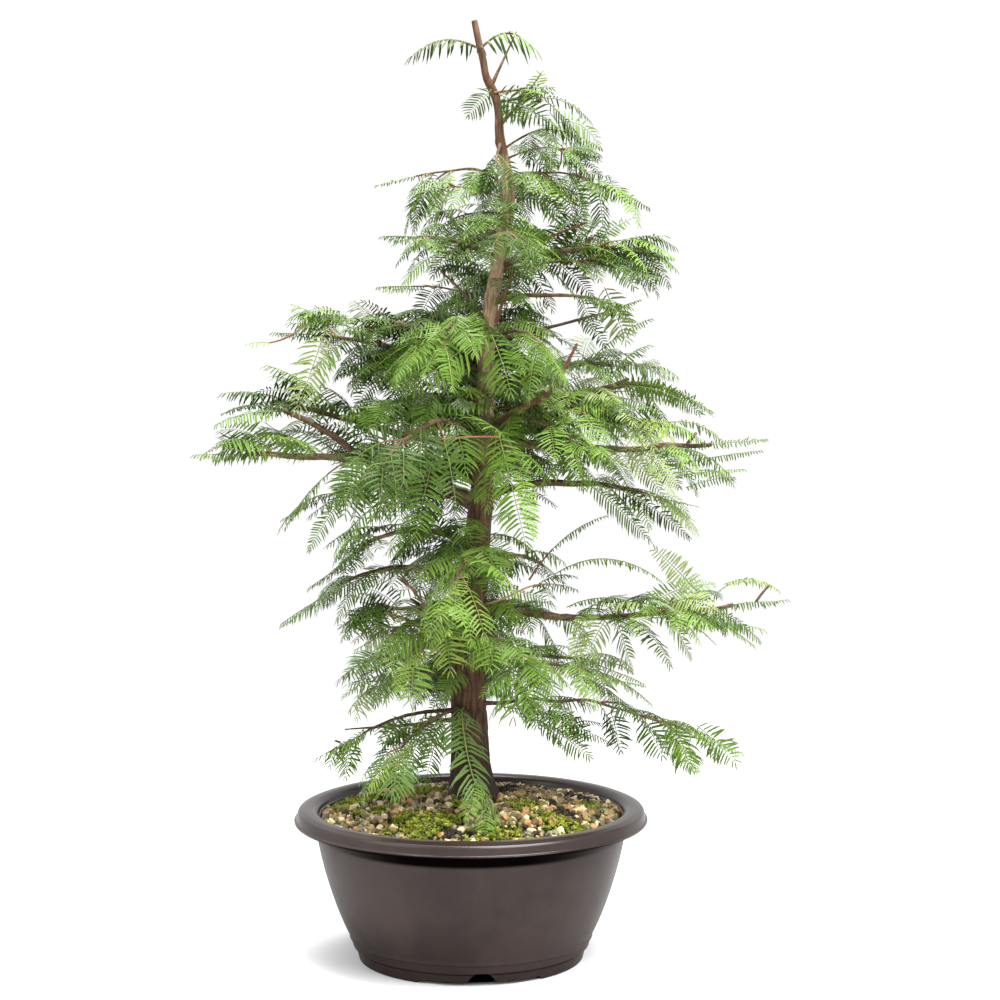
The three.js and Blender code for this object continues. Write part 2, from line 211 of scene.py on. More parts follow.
BOUGHS = [
    Bough("right_low", (217, -11), (236, -36), 21, 4.4, (0.14, 38, 14, 34), wood=True, hang=0.6, fill=0.6,
          droop=0.7, top=0.15, tilt=0.1),
    Bough("right_low_back", (252, 15), (160, -24), 16, 6, (0.06, 44, 18, 28), tint="light", fill=0.22),
    Bough("right_inner_back", (292, 28), (118, -14), 10, 6, (0.06, 36, 14, 36), fill=0.2),
    Bough("right_long", (306, -7), (270, 6), -13, 9, (0.33, 46, 28, 42), peak=0.4, wood=True, fill=0.75,
          tint="lit", top=0.7, tilt=0.42, close=0.7, hang=0.1),
    Bough("right_gold", (301, -24), (98, 19), 10, 3.4, (0.12, 24, 11, 22), peak=0.7, twig="gold", fill=0.25,
          top=0.3),
    Bough("right_mid_lower", (395, 6), (190, -8), 17, 9, (0.44, 44, 16, 44), peak=0.4, wood=True, hang=0.4,
          fill=0.48, tint="light"),
    Bough("right_mid", (443, -6), (240, 2), -4, 10, (0.18, 60, 34, 36), peak=0.6, wood=True, tint="light",
          top=0.35, tilt=0.16, fill=0.7, close=0.68),
    Bough("right_mid_upper", (458, 11), (204, 14), 28, 11, (0.24, 58, 30, 34), peak=0.6, wood=True, top=0.4,
          tilt=0.2, fill=0.7, close=0.68, tint="lit"),
    Bough("right_upper_back", (490, 28), (180, 20), 12, 7, (0.06, 48, 24, 26), tint="pale", fill=0.55,
          top=0.3, tilt=0.5),
    Bough("right_feather", (533, 8), (134, 34), -5, 5, (0.06, 34, 16, 26), fill=0.2),
    Bough("right_high_low", (565, -22), (126, -8), 8, 6, (0.06, 42, 16, 26), fill=0.12, close=0.75, hang=0.0),
    Bough("right_high", (597, -2), (150, 6), 10, 8, (0.14, 52, 20, 40), hang=0.9, fill=0.9, tilt=0.35,
          top=0.8, droop=0.8, close=0.8),
    Bough("right_top", (670, 2), (122, -24), 14, 2.8, (0.05, 44, 14, 42), peak=0.4, hang=1.0, fill=0.48,
          tilt=0.0, close=0.8, droop=1.2),
    Bough("right_crest", (694, 12), (88, 4), 18, 2.2, (0.05, 34, 26, 26), fill=0.6, tilt=0.2, close=0.7),
    Bough("right_crest_shoot", (715, -4), (36, 44), -3, 4.4, wood=True),
    Bough("crest_tuft", (735, -22), (46, 8), -2, 3, (0.05, 18, 12, 14)),
    Bough("crest_shoot", (748, 6), (22, 47), 0, 3.6, wood=True),
    Bough("crest_fan", (780, -8), (48, -2), 14, 2.4, (0.1, 14, 7, 15), needle=1.9, single=True),
    Bough("left_low", (205, 178), (108, -11), 0, 5, wood=True),
    Bough("left_low_spray", (212, -165), (134, -36), 12, 5, (0.2, 30, 12, 28), fill=0.45, hang=0.9, top=0.0,
          tilt=0.0, close=0.8, tint="light", needle=1.35),
    Bough("left_low_front", (215, -126), (132, -48), 14, 5, (0.12, 30, 13, 20), tint="light", needle=1.35,
          fill=0.8),
    Bough("left_second", (265, -151), (118, -34), 18, 8, (0.16, 42, 20, 30), close=0.74, tint="light",
          needle=1.3, fill=0.7),
    Bough("left_third", (284, 172), (116, -2), 18, 6, (0.06, 44, 24, 24), tint="light", close=0.8,
          needle=1.25, fill=0.6),
    Bough("left_arch", (320, -173), (166, -34), 32, 6, (0.06, 44, 18, 26), fill=0.6, top=0.2, tint="glaucous",
          close=0.66),
    Bough("left_hang", (355, -158), (150, -34), 30, 7, (0.06, 48, 18, 34), tint="dark", hang=0.6, fill=0.75,
          close=0.68, needle=1.1),
    Bough("left_hang_back", (387, 165), (182, -10), 24, 7, (0.06, 42, 18, 42), tint="dark", hang=0.4,
          fill=0.3),
    Bough("left_long", (383, -176), (244, 50), 25, 12, (0.3, 46, 34, 22), peak=0.32, wood=True, hang=0.1,
          tilt=0.7, close=0.82, top=1.0, droop=0.8, tint="dark", fill=0.76, needle=1.15),
    Bough("left_long_upper", (439, 173), (232, 30), 16, 9, (0.26, 48, 26, 28), peak=0.75, wood=True, top=0.5,
          tilt=0.5, fill=0.6, close=0.8, droop=0.7, tint="dark", needle=1.15),
    Bough("left_upper", (491, 172), (188, 50), 12, 7, (0.06, 48, 30, 38), tint="dark", top=0.15, fill=0.66,
          tilt=0.3, close=0.74, droop=0.5, hang=0.0, needle=1.15),
    Bough("left_upper_mid", (535, -158), (122, 0), 8, 6, (0.06, 44, 18, 28), top=0.1, tint="dark",
          needle=1.1),
    Bough("left_bare_shoot", (544, 214), (48, 45), 3, 5, wood=True),
    Bough("left_high", (569, 160), (108, 10), 4, 2.6, (0.06, 40, 14, 24), fill=0.12, top=0.0, tilt=0.0,
          close=0.7),
    Bough("left_high_front", (602, -158), (106, 14), 8, 5, (0.06, 38, 18, 32), hang=0.5, close=0.66, fill=0.8,
          tint="dark"),
    Bough("left_top", (655, 180), (114, 8), 20, 3.4, (0.16, 36, 12, 44), peak=0.32, hang=0.9, top=0.2,
          close=0.7, tilt=-0.1, droop=1.3, fill=0.7),
    Bough("left_crest", (780, 176), (62, -8), 12, 2.4, (0.1, 12, 6, 12), needle=1.25, fill=0.8, single=True,
          tint="dark"),
    Bough("front_low", (227, -81), (92, -78), 18, 3.4, (0.06, 22, 8, 10), needle=1.45, twig="green"),
    Bough("front_mid", (348, -98), (160, -52), 24, 6, (0.06, 48, 22, 34), tint="bright", needle=1.2,
          fill=0.75),
    Bough("front_mid_left", (452, -122), (188, -52), 32, 7, (0.06, 52, 24, 46), tint="front", needle=1.35,
          hang=0.5, fill=0.72),
    Bough("front_right_hang", (452, -74), (140, -82), 34, 6, (0.06, 36, 16, 26), tint="front", needle=1.2,
          hang=0.3, fill=0.2, close=0.7),
    Bough("front_upper_left", (541, -108), (156, -44), 22, 6, (0.06, 48, 18, 36), tint="front", needle=1.08,
          fill=0.55),
    Bough("front_upper_right", (530, -62), (132, -34), 22, 5, (0.06, 42, 20, 34), tint="front", needle=1.08,
          top=0.0, tilt=0.1, droop=1.2, fill=0.45),
    Bough("front_high", (622, -88), (104, -20), 12, 5, (0.06, 40, 18, 34), fill=0.8),
    Bough("front_crest", (700, -96), (58, -34), 2, 4, (0.06, 28, 12, 24), tint="glaucous", top=0.0, fill=0.3,
          hang=0.8, close=0.8, tilt=-0.2, droop=1.4),
    Bough("back_low", (243, 98), (156, -22), 14, 7, (0.06, 48, 16, 30), tint="light"),
    Bough("back_low_right", (332, 62), (178, -20), 18, 7, (0.06, 50, 18, 32), fill=0.3, top=0.0, tilt=0.1,
          close=0.7),
    Bough("back_mid", (401, 112), (198, 4), 20, 9, (0.2, 54, 20, 36), wood=True),
    Bough("back_upper", (478, 76), (186, 10), 18, 7, (0.06, 52, 20, 36)),
    Bough("back_upper_left", (540, 122), (156, 8), 14, 7, (0.06, 48, 18, 32), top=0.0, tilt=0.0, droop=1.3,
          fill=0.7, close=0.75),
    Bough("back_high", (618, 92), (112, 4), 10, 5, (0.06, 42, 18, 34)),
]

# Lesser boughs that fill the crown between them.
BRANCHES = [
    Bough("left_between", (505, -166), (124, -4), 10, 4, (0.06, 42, 14, 34), tint="dark", fill=1.2, hang=0.5),
    Bough("left_between_front", (478, -148), (128, -14), 12, 4, (0.06, 40, 12, 30), tint="front", needle=1.1),
    Bough("left_between_back", (515, 150), (130, 6), 8, 4, (0.06, 42, 12, 30), tint="dark"),
    Bough("right_between", (470, -22), (164, -12), 8, 4, (0.06, 44, 14, 26), tint="light", fill=1.2),
    Bough("right_between_front", (462, -44), (118, -26), 12, 4, (0.06, 40, 14, 26), tint="bright", needle=1.1,
          fill=0.6),
    Bough("right_over_low", (252, -18), (156, -14), 10, 4, (0.08, 38, 16, 30), tint="lit", fill=0.12),
    Bough("left_over_low", (240, -168), (98, -14), 12, 4, (0.08, 36, 16, 30), tint="light", needle=1.15,
          fill=0.6),
    Bough("left_over_second", (290, -160), (104, -22), 10, 4, (0.08, 38, 14, 32), tint="light", needle=1.15,
          fill=0.8),
    Bough("front_low_left", (282, -122), (112, -34), 16, 4, (0.08, 40, 16, 32), tint="bright", needle=1.25,
          hang=0.5, fill=0.8),
    Bough("front_low_right", (276, -56), (116, -36), 18, 4, (0.08, 40, 16, 30), tint="bright", needle=1.3,
          hang=0.5, fill=0.8),
    Bough("top_left_fill", (652, -160), (86, 2), 8, 3, (0.06, 30, 14, 28), tint="glaucous", hang=0.6,
          fill=0.5),
    Bough("top_left_back", (640, 150), (82, -12), 8, 3, (0.06, 30, 14, 26), tint="pale", hang=0.6, fill=0.6),
    Bough("crest_fill", (686, -24), (84, -4), 10, 2, (0.06, 28, 16, 20), tint="dark", needle=0.9),
    Bough("back_low_left", (236, 108), (104, -20), 12, 4, (0.06, 42, 16, 28), tint="dark", fill=0.6),
    Bough("back_low_fill", (290, 92), (140, -18), 14, 4, (0.06, 46, 18, 30), tint="dark"),
    Bough("back_left_fill", (338, 110), (140, -8), 16, 4, (0.06, 46, 18, 30)),
    Bough("back_mid_right", (418, 84), (150, 8), 16, 4, (0.06, 46, 18, 30)),
    Bough("back_mid_fill", (446, 72), (150, 4), 16, 4, (0.06, 44, 18, 30), tint="dark"),
    Bough("back_mid_left", (462, 114), (146, 0), 16, 4, (0.06, 46, 18, 30)),
    Bough("back_upper_fill", (512, 94), (140, 0), 14, 4, (0.06, 44, 18, 30)),
    Bough("back_upper_right", (538, 80), (112, 2), 12, 4, (0.06, 40, 16, 28), tint="dark", fill=0.6),
    Bough("back_high_left", (580, 102), (100, 2), 12, 4, (0.06, 38, 16, 28)),
    Bough("back_crest_fill", (660, 92), (70, 2), 8, 3, (0.06, 32, 14, 24), tint="glaucous"),
    Bough("right_under_high", (590, -14), (140, -6), 10, 4, (0.1, 40, 12, 30), fill=0.6, close=0.75),
]

# The great frond's curve in front of the trunk: its two ends and the two guides between.
FROND_LINE = [(-6, -12, 216), (-9, -58, 230), (-5, -78, 170), (19, -93, 133)]

# Single feathers that stand clear of the rest: start (right, back, height), turn and rise in degrees, length,
# droop in degrees, the needles' share of the usual length, green, the bare share of the foot, and roll, or
# "front" for one that shows its flat side there.
SINGLE_FEATHERS = [
    ((-122, -26, 541), (178, -72), 74, 10, 1.3, "pale", 0.04, "front"),
    ((23, -86, 455), (-56, -66), 102, 10, 1.4, "mid", 0.03, "front"),
    ((14, -88, 531), (200, -26), 76, 22, 1.4, "bright", 0.03, "front"),
    ((18, -72, 533), (-60, -50), 58, 26, 1.35, "mid", 0.03, "front"),
    ((24, -40, 474), (190, 14), 92, 40, 1.0, "mid", 0.03, 10),
    ((-44, -78, 448), (228, -46), 84, 20, 1.3, "bright", 0.03, "front"),
    ((-60, -66, 452), (200, -36), 78, 30, 1.2, "mid", 0.03, "front"),
    ((-28, -80, 440), (244, -60), 80, 14, 1.3, "mid", 0.03, "front"),
    ((22, -62, 450), (-104, -62), 66, 16, 1.15, "mid", 0.03, 0),
    ((-30, -30, 395), (-120, -20), 52, 50, 1.0, "deep", 0.04, 10),
    ((-24, -26, 388), (-140, -10), 60, 60, 1.0, "mid", 0.04, 10),
    ((-14, -26, 380), (-100, -30), 50, 40, 1.0, "deep", 0.04, 10),
    ((-100, -5, 548), (172, 30), 46, 60, 0.9, "mid", 0.1, 20),
    ((-112, -12, 556), (200, 20), 40, 70, 0.8, "bright", 0.1, -20),
    ((213, 0, 315), (-2, 45), 64, 102, 0.8, "pale", 0.06, 10),
    ((152, -8, 293), (-6, 4), 100, 16, 1.15, "bright", 0.03, 10),
    ((118, -14, 297), (-150, -50), 52, 20, 1.0, "pale", 0.05, 60),
    ((124, -14, 296), (-60, -60), 48, 10, 1.1, "pale", 0.05, 80),
    ((98, -14, 300), (-120, -55), 50, 15, 1.0, "pale", 0.05, 70),
    ((112, -20, 300), (-20, 40), 52, 80, 1.1, "pale", 0.05, 10),
    ((200, -4, 309), (176, 52), 60, 18, 0.9, "pale", 0.1, 80),
    ((176, -6, 301), (-14, -6), 74, 34, 0.85, "bright", 0.06, 12),
    ((150, -8, 300), (-30, 4), 70, 48, 0.85, "yellow", 0.06, 14),
    ((196, -4, 306), (-24, -12), 64, 36, 0.8, "bright", 0.06, 40),
    ((50, -10, 326), (-2, 60), 88, 60, 0.6, "mid", 0.38, 10),
    ((168, -8, 424), (-5, 12), 82, 6, 0.55, "mid", 0.04, 20),
    ((174, -14, 415), (-10, 10), 60, 10, 0.55, "bright", 0.04, 10),
    ((184, -10, 405), (-6, 26), 42, 24, 0.6, "mid", 0.04, 30),
    ((168, -8, 461), (-8, 16), 58, 76, 0.95, "pale", 0.04, 10),
    ((150, -8, 458), (-16, 20), 56, 70, 0.9, "bright", 0.04, 10),
    ((-108, -12, 530), (190, -40), 40, 20, 0.9, "mid", 0.04, 30),
    ((146, -8, 610), (-8, -40), 40, 40, 0.9, "mid", 0.04, 40),
    ((136, -8, 618), (-12, 20), 42, 60, 0.8, "deep", 0.04, 10),
    ((118, -10, 408), (-8, -22), 82, 26, 0.95, "deep", 0.04, 40),
    ((98, -12, 410), (-16, -34), 74, 22, 0.95, "mid", 0.04, 50),
    ((146, -10, 210), (-6, -4), 88, 36, 0.7, "bright", 0.05, 10),
    ((147, -12, 210), (-52, -50), 40, 8, 1.1, "mid", 0.05, "front"),
    ((173, -12, 205), (-50, -56), 44, 8, 1.15, "mid", 0.05, "front"),
    ((120, -12, 214), (-60, -60), 36, 10, 0.95, "deep", 0.05, "front"),
    ((194, -12, 201), (-20, -34), 46, 12, 1.05, "mid", 0.05, "front"),
    ((76, -12, 212), (-30, -30), 34, 10, 0.75, "mid", 0.05, "front"),
    ((98, -10, 250), (-12, -6), 66, 40, 0.8, "pale", 0.05, 10),
    ((90, -10, 244), (-12, -14), 60, 30, 0.8, "mid", 0.05, 10),
    ((218, -4, 322), (-4, 30), 60, 84, 0.8, "pale", 0.05, 10),
    ((196, -4, 420), (-8, 20), 34, 80, 0.8, "bright", 0.05, 10),
    ((-92, -6, 197), (190, -40), 28, 10, 0.6, "bright", 0.05, 30),
    ((-60, -16, 197), (215, -55), 56, 10, 0.85, "mid", 0.05, 50),
    ((-40, -20, 202), (228, -56), 62, 10, 0.9, "bright", 0.05, 50),
    ((-26, -24, 206), (245, -56), 58, 10, 0.95, "mid", 0.05, 50),
    ((49, -14, 208), (-10, -12), 56, 26, 0.6, "bright", 0.08, 10),
    ((62, -10, 203), (-40, -30), 34, 26, 0.55, "bright", 0.08, 10),
    ((107, -10, 519), (-4, 46), 56, 30, 0.7, "bright", 0.06, 20),
    ((72, -20, 332), (-4, 36), 98, 84, 0.75, "bright", 0.05, 10),
    ((82, -14, 303), (-4, 30), 82, 66, 0.72, "mid", 0.05, 10),
    ((37, -12, 538), (-4, 14), 68, 66, 0.78, "deep", 0.06, 5),
    ((114, -12, 576), (-20, -66), 50, 12, 1.2, "pale", 0.04, 84),
    ((-82, -10, 332), (184, -20), 92, 18, 0.8, "mid", 0.06, 20),
    ((-100, -10, 410), (184, -50), 70, 22, 0.75, "mid", 0.06, 60),
    ((-102, -8, 430), (185, -24), 84, 50, 0.85, "mid", 0.3, 10),
    ((-70, -20, 396), (200, -20), 66, 56, 1.0, "bright", 0.06, 10),
    ((-30, -30, 392), (215, -10), 62, 70, 1.05, "bright", 0.06, 10),
    ((60, -10, 668), (-20, -10), 50, 50, 1.0, "pale", 0.06, 10),
    ((-28, -20, 604), (200, -20), 44, 50, 0.9, "bright", 0.06, 10),
    ((50, -8, 736), (-6, 16), 60, 70, 0.8, "mid", 0.1, 10),
    ((66, -4, 734), (-20, -40), 52, 30, 0.95, "deep", 0.06, 30),
    ((52, -8, 726), (-14, -22), 50, 40, 1.0, "mid", 0.06, 20),
    ((64, -4, 700), (-10, -20), 52, 40, 0.9, "mid", 0.06, 20),
    ((30, -8, 742), (4, 22), 40, 30, 0.8, "bright", 0.1, 10),
    ((18, -10, 744), (192, -44), 30, 14, 0.85, "deep", 0.02, "front"),
    ((24, -10, 740), (-8, -22), 44, 16, 1.2, "deep", 0.02, "front"),
    ((26, -10, 740), (-30, -50), 28, 10, 0.9, "deep", 0.02, "front"),
    ((-172, -10, 529), (176, 8), 19, 20, 0.5, "bright", 0.0, 20),
    ((26, -12, 217), (-8, -4), 86, 8, 0.85, "deep", 0.03, 30),
    ((56, -14, 214), (-14, -14), 66, 12, 0.9, "deep", 0.03, 40),
    ((54, -16, 208), (-16, -24), 58, 16, 0.9, "mid", 0.03, "front"),
    ((56, -12, 744), (60, 70), 15, 6, 0.8, "yellow", 0.0, 10),
    ((-100, -8, 546), (160, 36), 44, 60, 0.8, "mid", 0.04, 20),
    ((-104, -10, 546), (186, 48), 38, 70, 0.8, "deep", 0.04, 30),
    ((-108, -6, 548), (200, 14), 46, 50, 0.8, "mid", 0.04, -10),
    ((-90, -6, 552), (20, 26), 40, 60, 0.8, "deep", 0.04, -10),
    ((-60, -8, 540), (150, 30), 40, 60, 0.8, "deep", 0.04, 0),
    ((-158, -12, 470), (160, 26), 56, 50, 0.85, "deep", 0.1, 0),
    ((-160, -14, 470), (196, 10), 60, 40, 0.85, "mid", 0.1, 20),
    ((-170, -8, 438), (170, 34), 48, 50, 0.85, "mid", 0.06, 20),
    ((-196, -6, 440), (176, 20), 40, 60, 0.8, "deep", 0.06, 0),
]

# Thin bare shoots: bark, start, end, how far each bows up, and girth.
BARE_SHOOTS = [
    ("red", (-31, -78, 446), (24, -74, 449), 1.0, 1.9),
    ("gold", (-26, -36, 284), (-10, -40, 331), 3.0, 2.0),
    ("brown", (22, -8, 546), (36, -12, 588), 2.0, 3.4),
    ("brown", (-33, -24, 296), (-58, -34, 330), 2.0, 2.6),
    ("brown", (-26, -18, 276), (-71, -28, 299), 3.0, 4.0),
    ("red", (6, -20, 250), (-12, -34, 262), 1.0, 1.6),
    ("brown", (-140, -12, 545), (-172, -10, 529), -3.0, 2.0),
    ("brown", (20, -4, 742), (54, -6, 744), 1.0, 2.6),
    ("stub", (12, -12, 452), (65, -62, 484), 2.0, 6.4),
    ("stub", (63, -59, 481), (88, -80, 525), -2.0, 3.4),
    ("stub", (40, -10, 606), (98, -40, 628), 1.0, 2.6),
]

# Cut stubs on the wood: bough, share of its way, turn and rise in degrees, length and girth.
STUBS = [
    ("right_long", 0.62, 20, 62, 14, 3.4),
    ("right_long", 0.9, 8, 50, 18, 2.6),
    ("right_mid_upper", 0.55, 20, 24, 18, 3.6),
    ("right_mid", 0.72, 10, 52, 14, 3.4),
    ("right_high", 0.5, -30, 55, 12, 3.2),
    ("left_long", 0.3, 150, 60, 22, 5.0),
    ("left_long", 0.4, 190, 32, 82, 6.0),
    ("left_second", 0.5, 150, 44, 20, 3.2),
    ("left_third", 0.35, 200, 40, 16, 3.0),
    ("back_mid", 0.42, 70, 50, 18, 4.0),
]

# ---------- the greens ----------

GREENS = {
    "bright": (0.125, 0.217, 0.028),
    "mid": (0.078, 0.150, 0.011),
    "deep": (0.032, 0.066, 0.003),
    "yellow": (0.151, 0.213, 0.028),
    "pale": (0.218, 0.286, 0.092),
    "glaucous": (0.143, 0.197, 0.092),
    "cool": (0.087, 0.150, 0.034),
}
GREEN_NAMES = list(GREENS)
# The share of each green in each mix, in the order above. A spray or a feather has one green.
TINTS = {
    "usual": (0.24, 0.40, 0.24, 0.02, 0.02, 0.02, 0.06),
    "bright": (0.52, 0.30, 0.06, 0.08, 0.0, 0.0, 0.04),
    "light": (0.36, 0.24, 0.08, 0.04, 0.22, 0.02, 0.04),
    # The dark mix is painted shade: it goes mostly to boughs on the left and at the back, away from the key
    # light.
    "dark": (0.02, 0.30, 0.58, 0.0, 0.0, 0.02, 0.08),
    "pale": (0.20, 0.26, 0.14, 0.02, 0.22, 0.10, 0.06),
    "glaucous": (0.02, 0.22, 0.14, 0.0, 0.14, 0.32, 0.16),
    "front": (0.36, 0.48, 0.14, 0.0, 0.0, 0.02, 0.0),
    # The lit mix is painted light: it goes to boughs on the right, where the key light falls.
    "lit": (0.32, 0.16, 0.04, 0.02, 0.38, 0.08, 0.0),
}


# ---------- small helpers ----------

# Large odd numbers that scramble a cell's place and a seed into a value.
SCRAMBLE = (374761393, 668265263, 1440662683, 974634777)
SCRAMBLE_AGAIN = 1274126177


def lerp(a, b, t):
    """The value that share t of the way from a to b."""
    return a + (b - a) * t


def smooth(low, high, x):
    """0 below low, 1 above high, and a smooth step between."""
    t = np.clip((x - low) / (high - low), 0, 1)
    return t * t * (3 - 2 * t)


def unit(v):
    """The vector, or each row of an array, at length 1."""
    return v / np.maximum(np.linalg.norm(v, axis=-1, keepdims=True), 1e-9)


def noise(points, seed):
    """Smooth values from -1 to 1 at the points, in cells of one unit."""
    cell = np.floor(points).astype(np.int64)
    t = points - cell
    t = t * t * (3 - 2 * t)
    total = np.zeros(len(points))
    for corner in range(8):
        step = np.array([corner & 1, corner >> 1 & 1, corner >> 2 & 1])
        x, y, z = (cell + step).T
        key = x * SCRAMBLE[0] + y * SCRAMBLE[1] + z * SCRAMBLE[2] + seed * SCRAMBLE[3]
        key = (key ^ (key >> 13)) * SCRAMBLE_AGAIN
        value = ((key ^ (key >> 16)) & 0xFFFF) / 0x7FFF - 1
        total += value * np.where(step, t, 1 - t).prod(1)
    return total


def heading_at(turn, rise=0.0):
    """The direction at those angles in radians: its turn from the right to the back, and its rise."""
    return np.array([math.cos(turn) * math.cos(rise), math.sin(turn) * math.cos(rise), math.sin(rise)])


def leg_lengths(line):
    """How far it is from each point of a line to the next."""
    return np.linalg.norm(np.diff(line, axis=0), axis=1)


def way_along(line):
    """How far along a line each of its points is."""
    return np.concatenate([[0], np.cumsum(leg_lengths(line))])


def flat_rows(right, back, scale):
    """Level places as points for noise, scale millimetres to the unit."""
    return np.column_stack([right / scale, back / scale, np.zeros_like(right)])


def placed(points):
    """Millimetres from the pot's axis and the table, as metres in the frame."""
    return np.asarray(points, float) * MM + AXIS


def linked(name, data):
    """A new object in the scene that shows the data."""
    made = bpy.data.objects.new(name, data)
    bpy.context.scene.collection.objects.link(made)
    return made


def discard(thing):
    """Removes an object with its mesh."""
    mesh = thing.data
    bpy.data.objects.remove(thing)
    bpy.data.meshes.remove(mesh)


def evaluated_mesh(thing):
    """A plain mesh of the object as its modifiers leave it."""
    bpy.context.view_layer.update()
    return bpy.data.meshes.new_from_object(thing.evaluated_get(bpy.context.evaluated_depsgraph_get()))


def mesh_object(name, points, faces, finishes, slots=None, soft=True):
    """A mesh object from points in millimetres, and faces as arrays by corner count."""
    mesh = bpy.data.meshes.new(name)
    counts = np.concatenate([np.full(len(f), f.shape[1]) for f in faces])
    corners = np.concatenate([f.ravel() for f in faces]).astype(np.int32)
    mesh.vertices.add(len(points))
    mesh.vertices.foreach_set("co", placed(points).astype(np.float32).ravel())
    mesh.loops.add(len(corners))
    mesh.loops.foreach_set("vertex_index", corners)
    mesh.polygons.add(len(counts))
    starts = np.concatenate([[0], np.cumsum(counts)[:-1]]).astype(np.int32)
    mesh.polygons.foreach_set("loop_start", starts)
    mesh.polygons.foreach_set("use_smooth", np.full(len(counts), soft))
    for finish in finishes:
        mesh.materials.append(finish)
    if slots is not None:
        mesh.polygons.foreach_set("material_index", slots.astype(np.int32))
    mesh.update(calc_edges=True)
    return linked(name, mesh)


def ring_faces(rings, turns):
    """The squares between each two of a row of rings, with turns points each."""
    row = np.arange(rings - 1)[:, None] * turns
    col = np.arange(turns)[None]
    a, b = row + col, row + (col + 1) % turns
    return np.stack([a, b, b + turns, a + turns], axis=-1).reshape(-1, 4)


def end_faces(rings, turns):
    """The triangles that close a row of rings, to the two points that come after them."""
    col = np.arange(turns)
    after = (col + 1) % turns
    foot, tip, last = rings * turns, rings * turns + 1, (rings - 1) * turns
    foot_faces = np.stack([np.full(turns, foot), after, col], axis=-1)
    tip_faces = np.stack([np.full(turns, tip), last + col, last + after], axis=-1)
    return np.concatenate([foot_faces, tip_faces])


def note(obj, name, values):
    """Keeps one number for each vertex on the mesh, under that name."""
    layer = obj.data.attributes.new(name, "FLOAT", "POINT")
    layer.data.foreach_set("value", np.asarray(values, np.float32))


def belongs(obj, slot, *nodes):
    """The piece rides on the one body and replaces the nodes. The slot is not used."""
    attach(obj, BODY)
    if nodes:
        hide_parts(*nodes)


# ---------- materials ----------


def new_finish(name, colour, specular, roughness=0.6):
    """A new material, and its Principled BSDF with its plain values."""
    made = bpy.data.materials.new(name)
    made.use_nodes = True
    surface = made.node_tree.nodes["Principled BSDF"]
    surface.inputs["Roughness"].default_value = roughness
    surface.inputs["Base Color"].default_value = (*colour, 1)
    surface.inputs["Specular IOR Level"].default_value = specular
    made.diffuse_color = (*colour, 1)
    return made, surface


class Wiring:
    """Adds nodes to one tree and joins them."""

    def __init__(self, tree):
        self.tree = tree

    def node(self, kind, inputs=None, **settings):
        """A new node with its settings and its inputs."""
        made = self.tree.nodes.new(kind)
        for key, value in settings.items():
            setattr(made, key, value)
        for key, value in (inputs or {}).items():
            self.give(made.inputs[key], value)
        return made

    def give(self, socket, value):
        """Links an output to the socket, or gives it a plain value."""
        if isinstance(value, bpy.types.NodeSocket):
            self.tree.links.new(value, socket)
        else:
            socket.default_value = value

    def maths(self, operation, a, b):
        """Two numbers put together by the operation."""
        return self.node("ShaderNodeMath", {0: a, 1: b}, operation=operation).outputs[0]

    def times(self, a, b):
        """Two numbers multiplied."""
        return self.maths("MULTIPLY", a, b)

    def mix(self, factor, a, b):
        """The colour the factor's share of the way from a to b."""
        made = self.node("ShaderNodeMix", data_type="RGBA")
        self.give(made.inputs["Factor"], factor)
        self.give(made.inputs[6], a)
        self.give(made.inputs[7], b)
        return made.outputs[2]

    def spread(self, value, low, high, to_low=0.0, to_high=1.0):
        """A smooth step from to_low to to_high, while the value goes from low to high."""
        made = self.node("ShaderNodeMapRange", interpolation_type="SMOOTHSTEP")
        for socket, given in zip(made.inputs, (value, low, high, to_low, to_high)):
            self.give(socket, given)
        return made.outputs[0]

    def speckle(self, where, scale, detail=3.0, rough=0.55):
        """Soft noise from 0 to 1."""
        inputs = {"Vector": where, "Scale": scale, "Detail": detail, "Roughness": rough}
        return self.node("ShaderNodeTexNoise", inputs).outputs["Fac"]

    def attribute(self, name, kind="FLOAT"):
        """The geometry's own attribute of that name."""
        return self.node("GeometryNodeInputNamedAttribute", {"Name": name}, data_type=kind).outputs[0]


def new_group(name, kind, inputs, outputs):
    """A node group with inputs and outputs of those kinds by name."""
    tree = bpy.data.node_groups.new(name, kind)
    for way, sockets in (("INPUT", inputs), ("OUTPUT", outputs)):
        for label, socket in sockets.items():
            tree.interface.new_socket(label, in_out=way, socket_type=socket)
    wires = Wiring(tree)
    return tree, wires, wires.node("NodeGroupInput").outputs, wires.node("NodeGroupOutput").inputs


FLOAT, COLOUR, VECTOR = "NodeSocketFloat", "NodeSocketColor", "NodeSocketVector"
GEOMETRY, WHOLE, FINISH = "NodeSocketGeometry", "NodeSocketInt", "NodeSocketMaterial"


def mottle_group():
    """Two colours that mingle in soft blotches and fine specks, and their height."""
    if "mottle" in bpy.data.node_groups:
        return bpy.data.node_groups["mottle"]
    inputs = {"Vector": VECTOR, "Light": COLOUR, "Dark": COLOUR}
    inputs |= {"Blotch Scale": FLOAT, "Speck Scale": FLOAT, "Speck Share": FLOAT}
    outputs = {"Color": COLOUR, "Height": FLOAT}
    tree, wires, given, result = new_group("mottle", "ShaderNodeTree", inputs, outputs)
    blotch = wires.speckle(given["Vector"], given["Blotch Scale"], 4.0)
    speck = wires.speckle(given["Vector"], given["Speck Scale"], 2.0, 0.7)
    both = wires.node("ShaderNodeMix", {0: given["Speck Share"], 2: blotch, 3: speck}).outputs[0]
    shade = wires.spread(both, 0.34, 0.66)
    wires.give(result["Color"], wires.mix(shade, given["Dark"], given["Light"]))
    wires.give(result["Height"], both)
    return tree


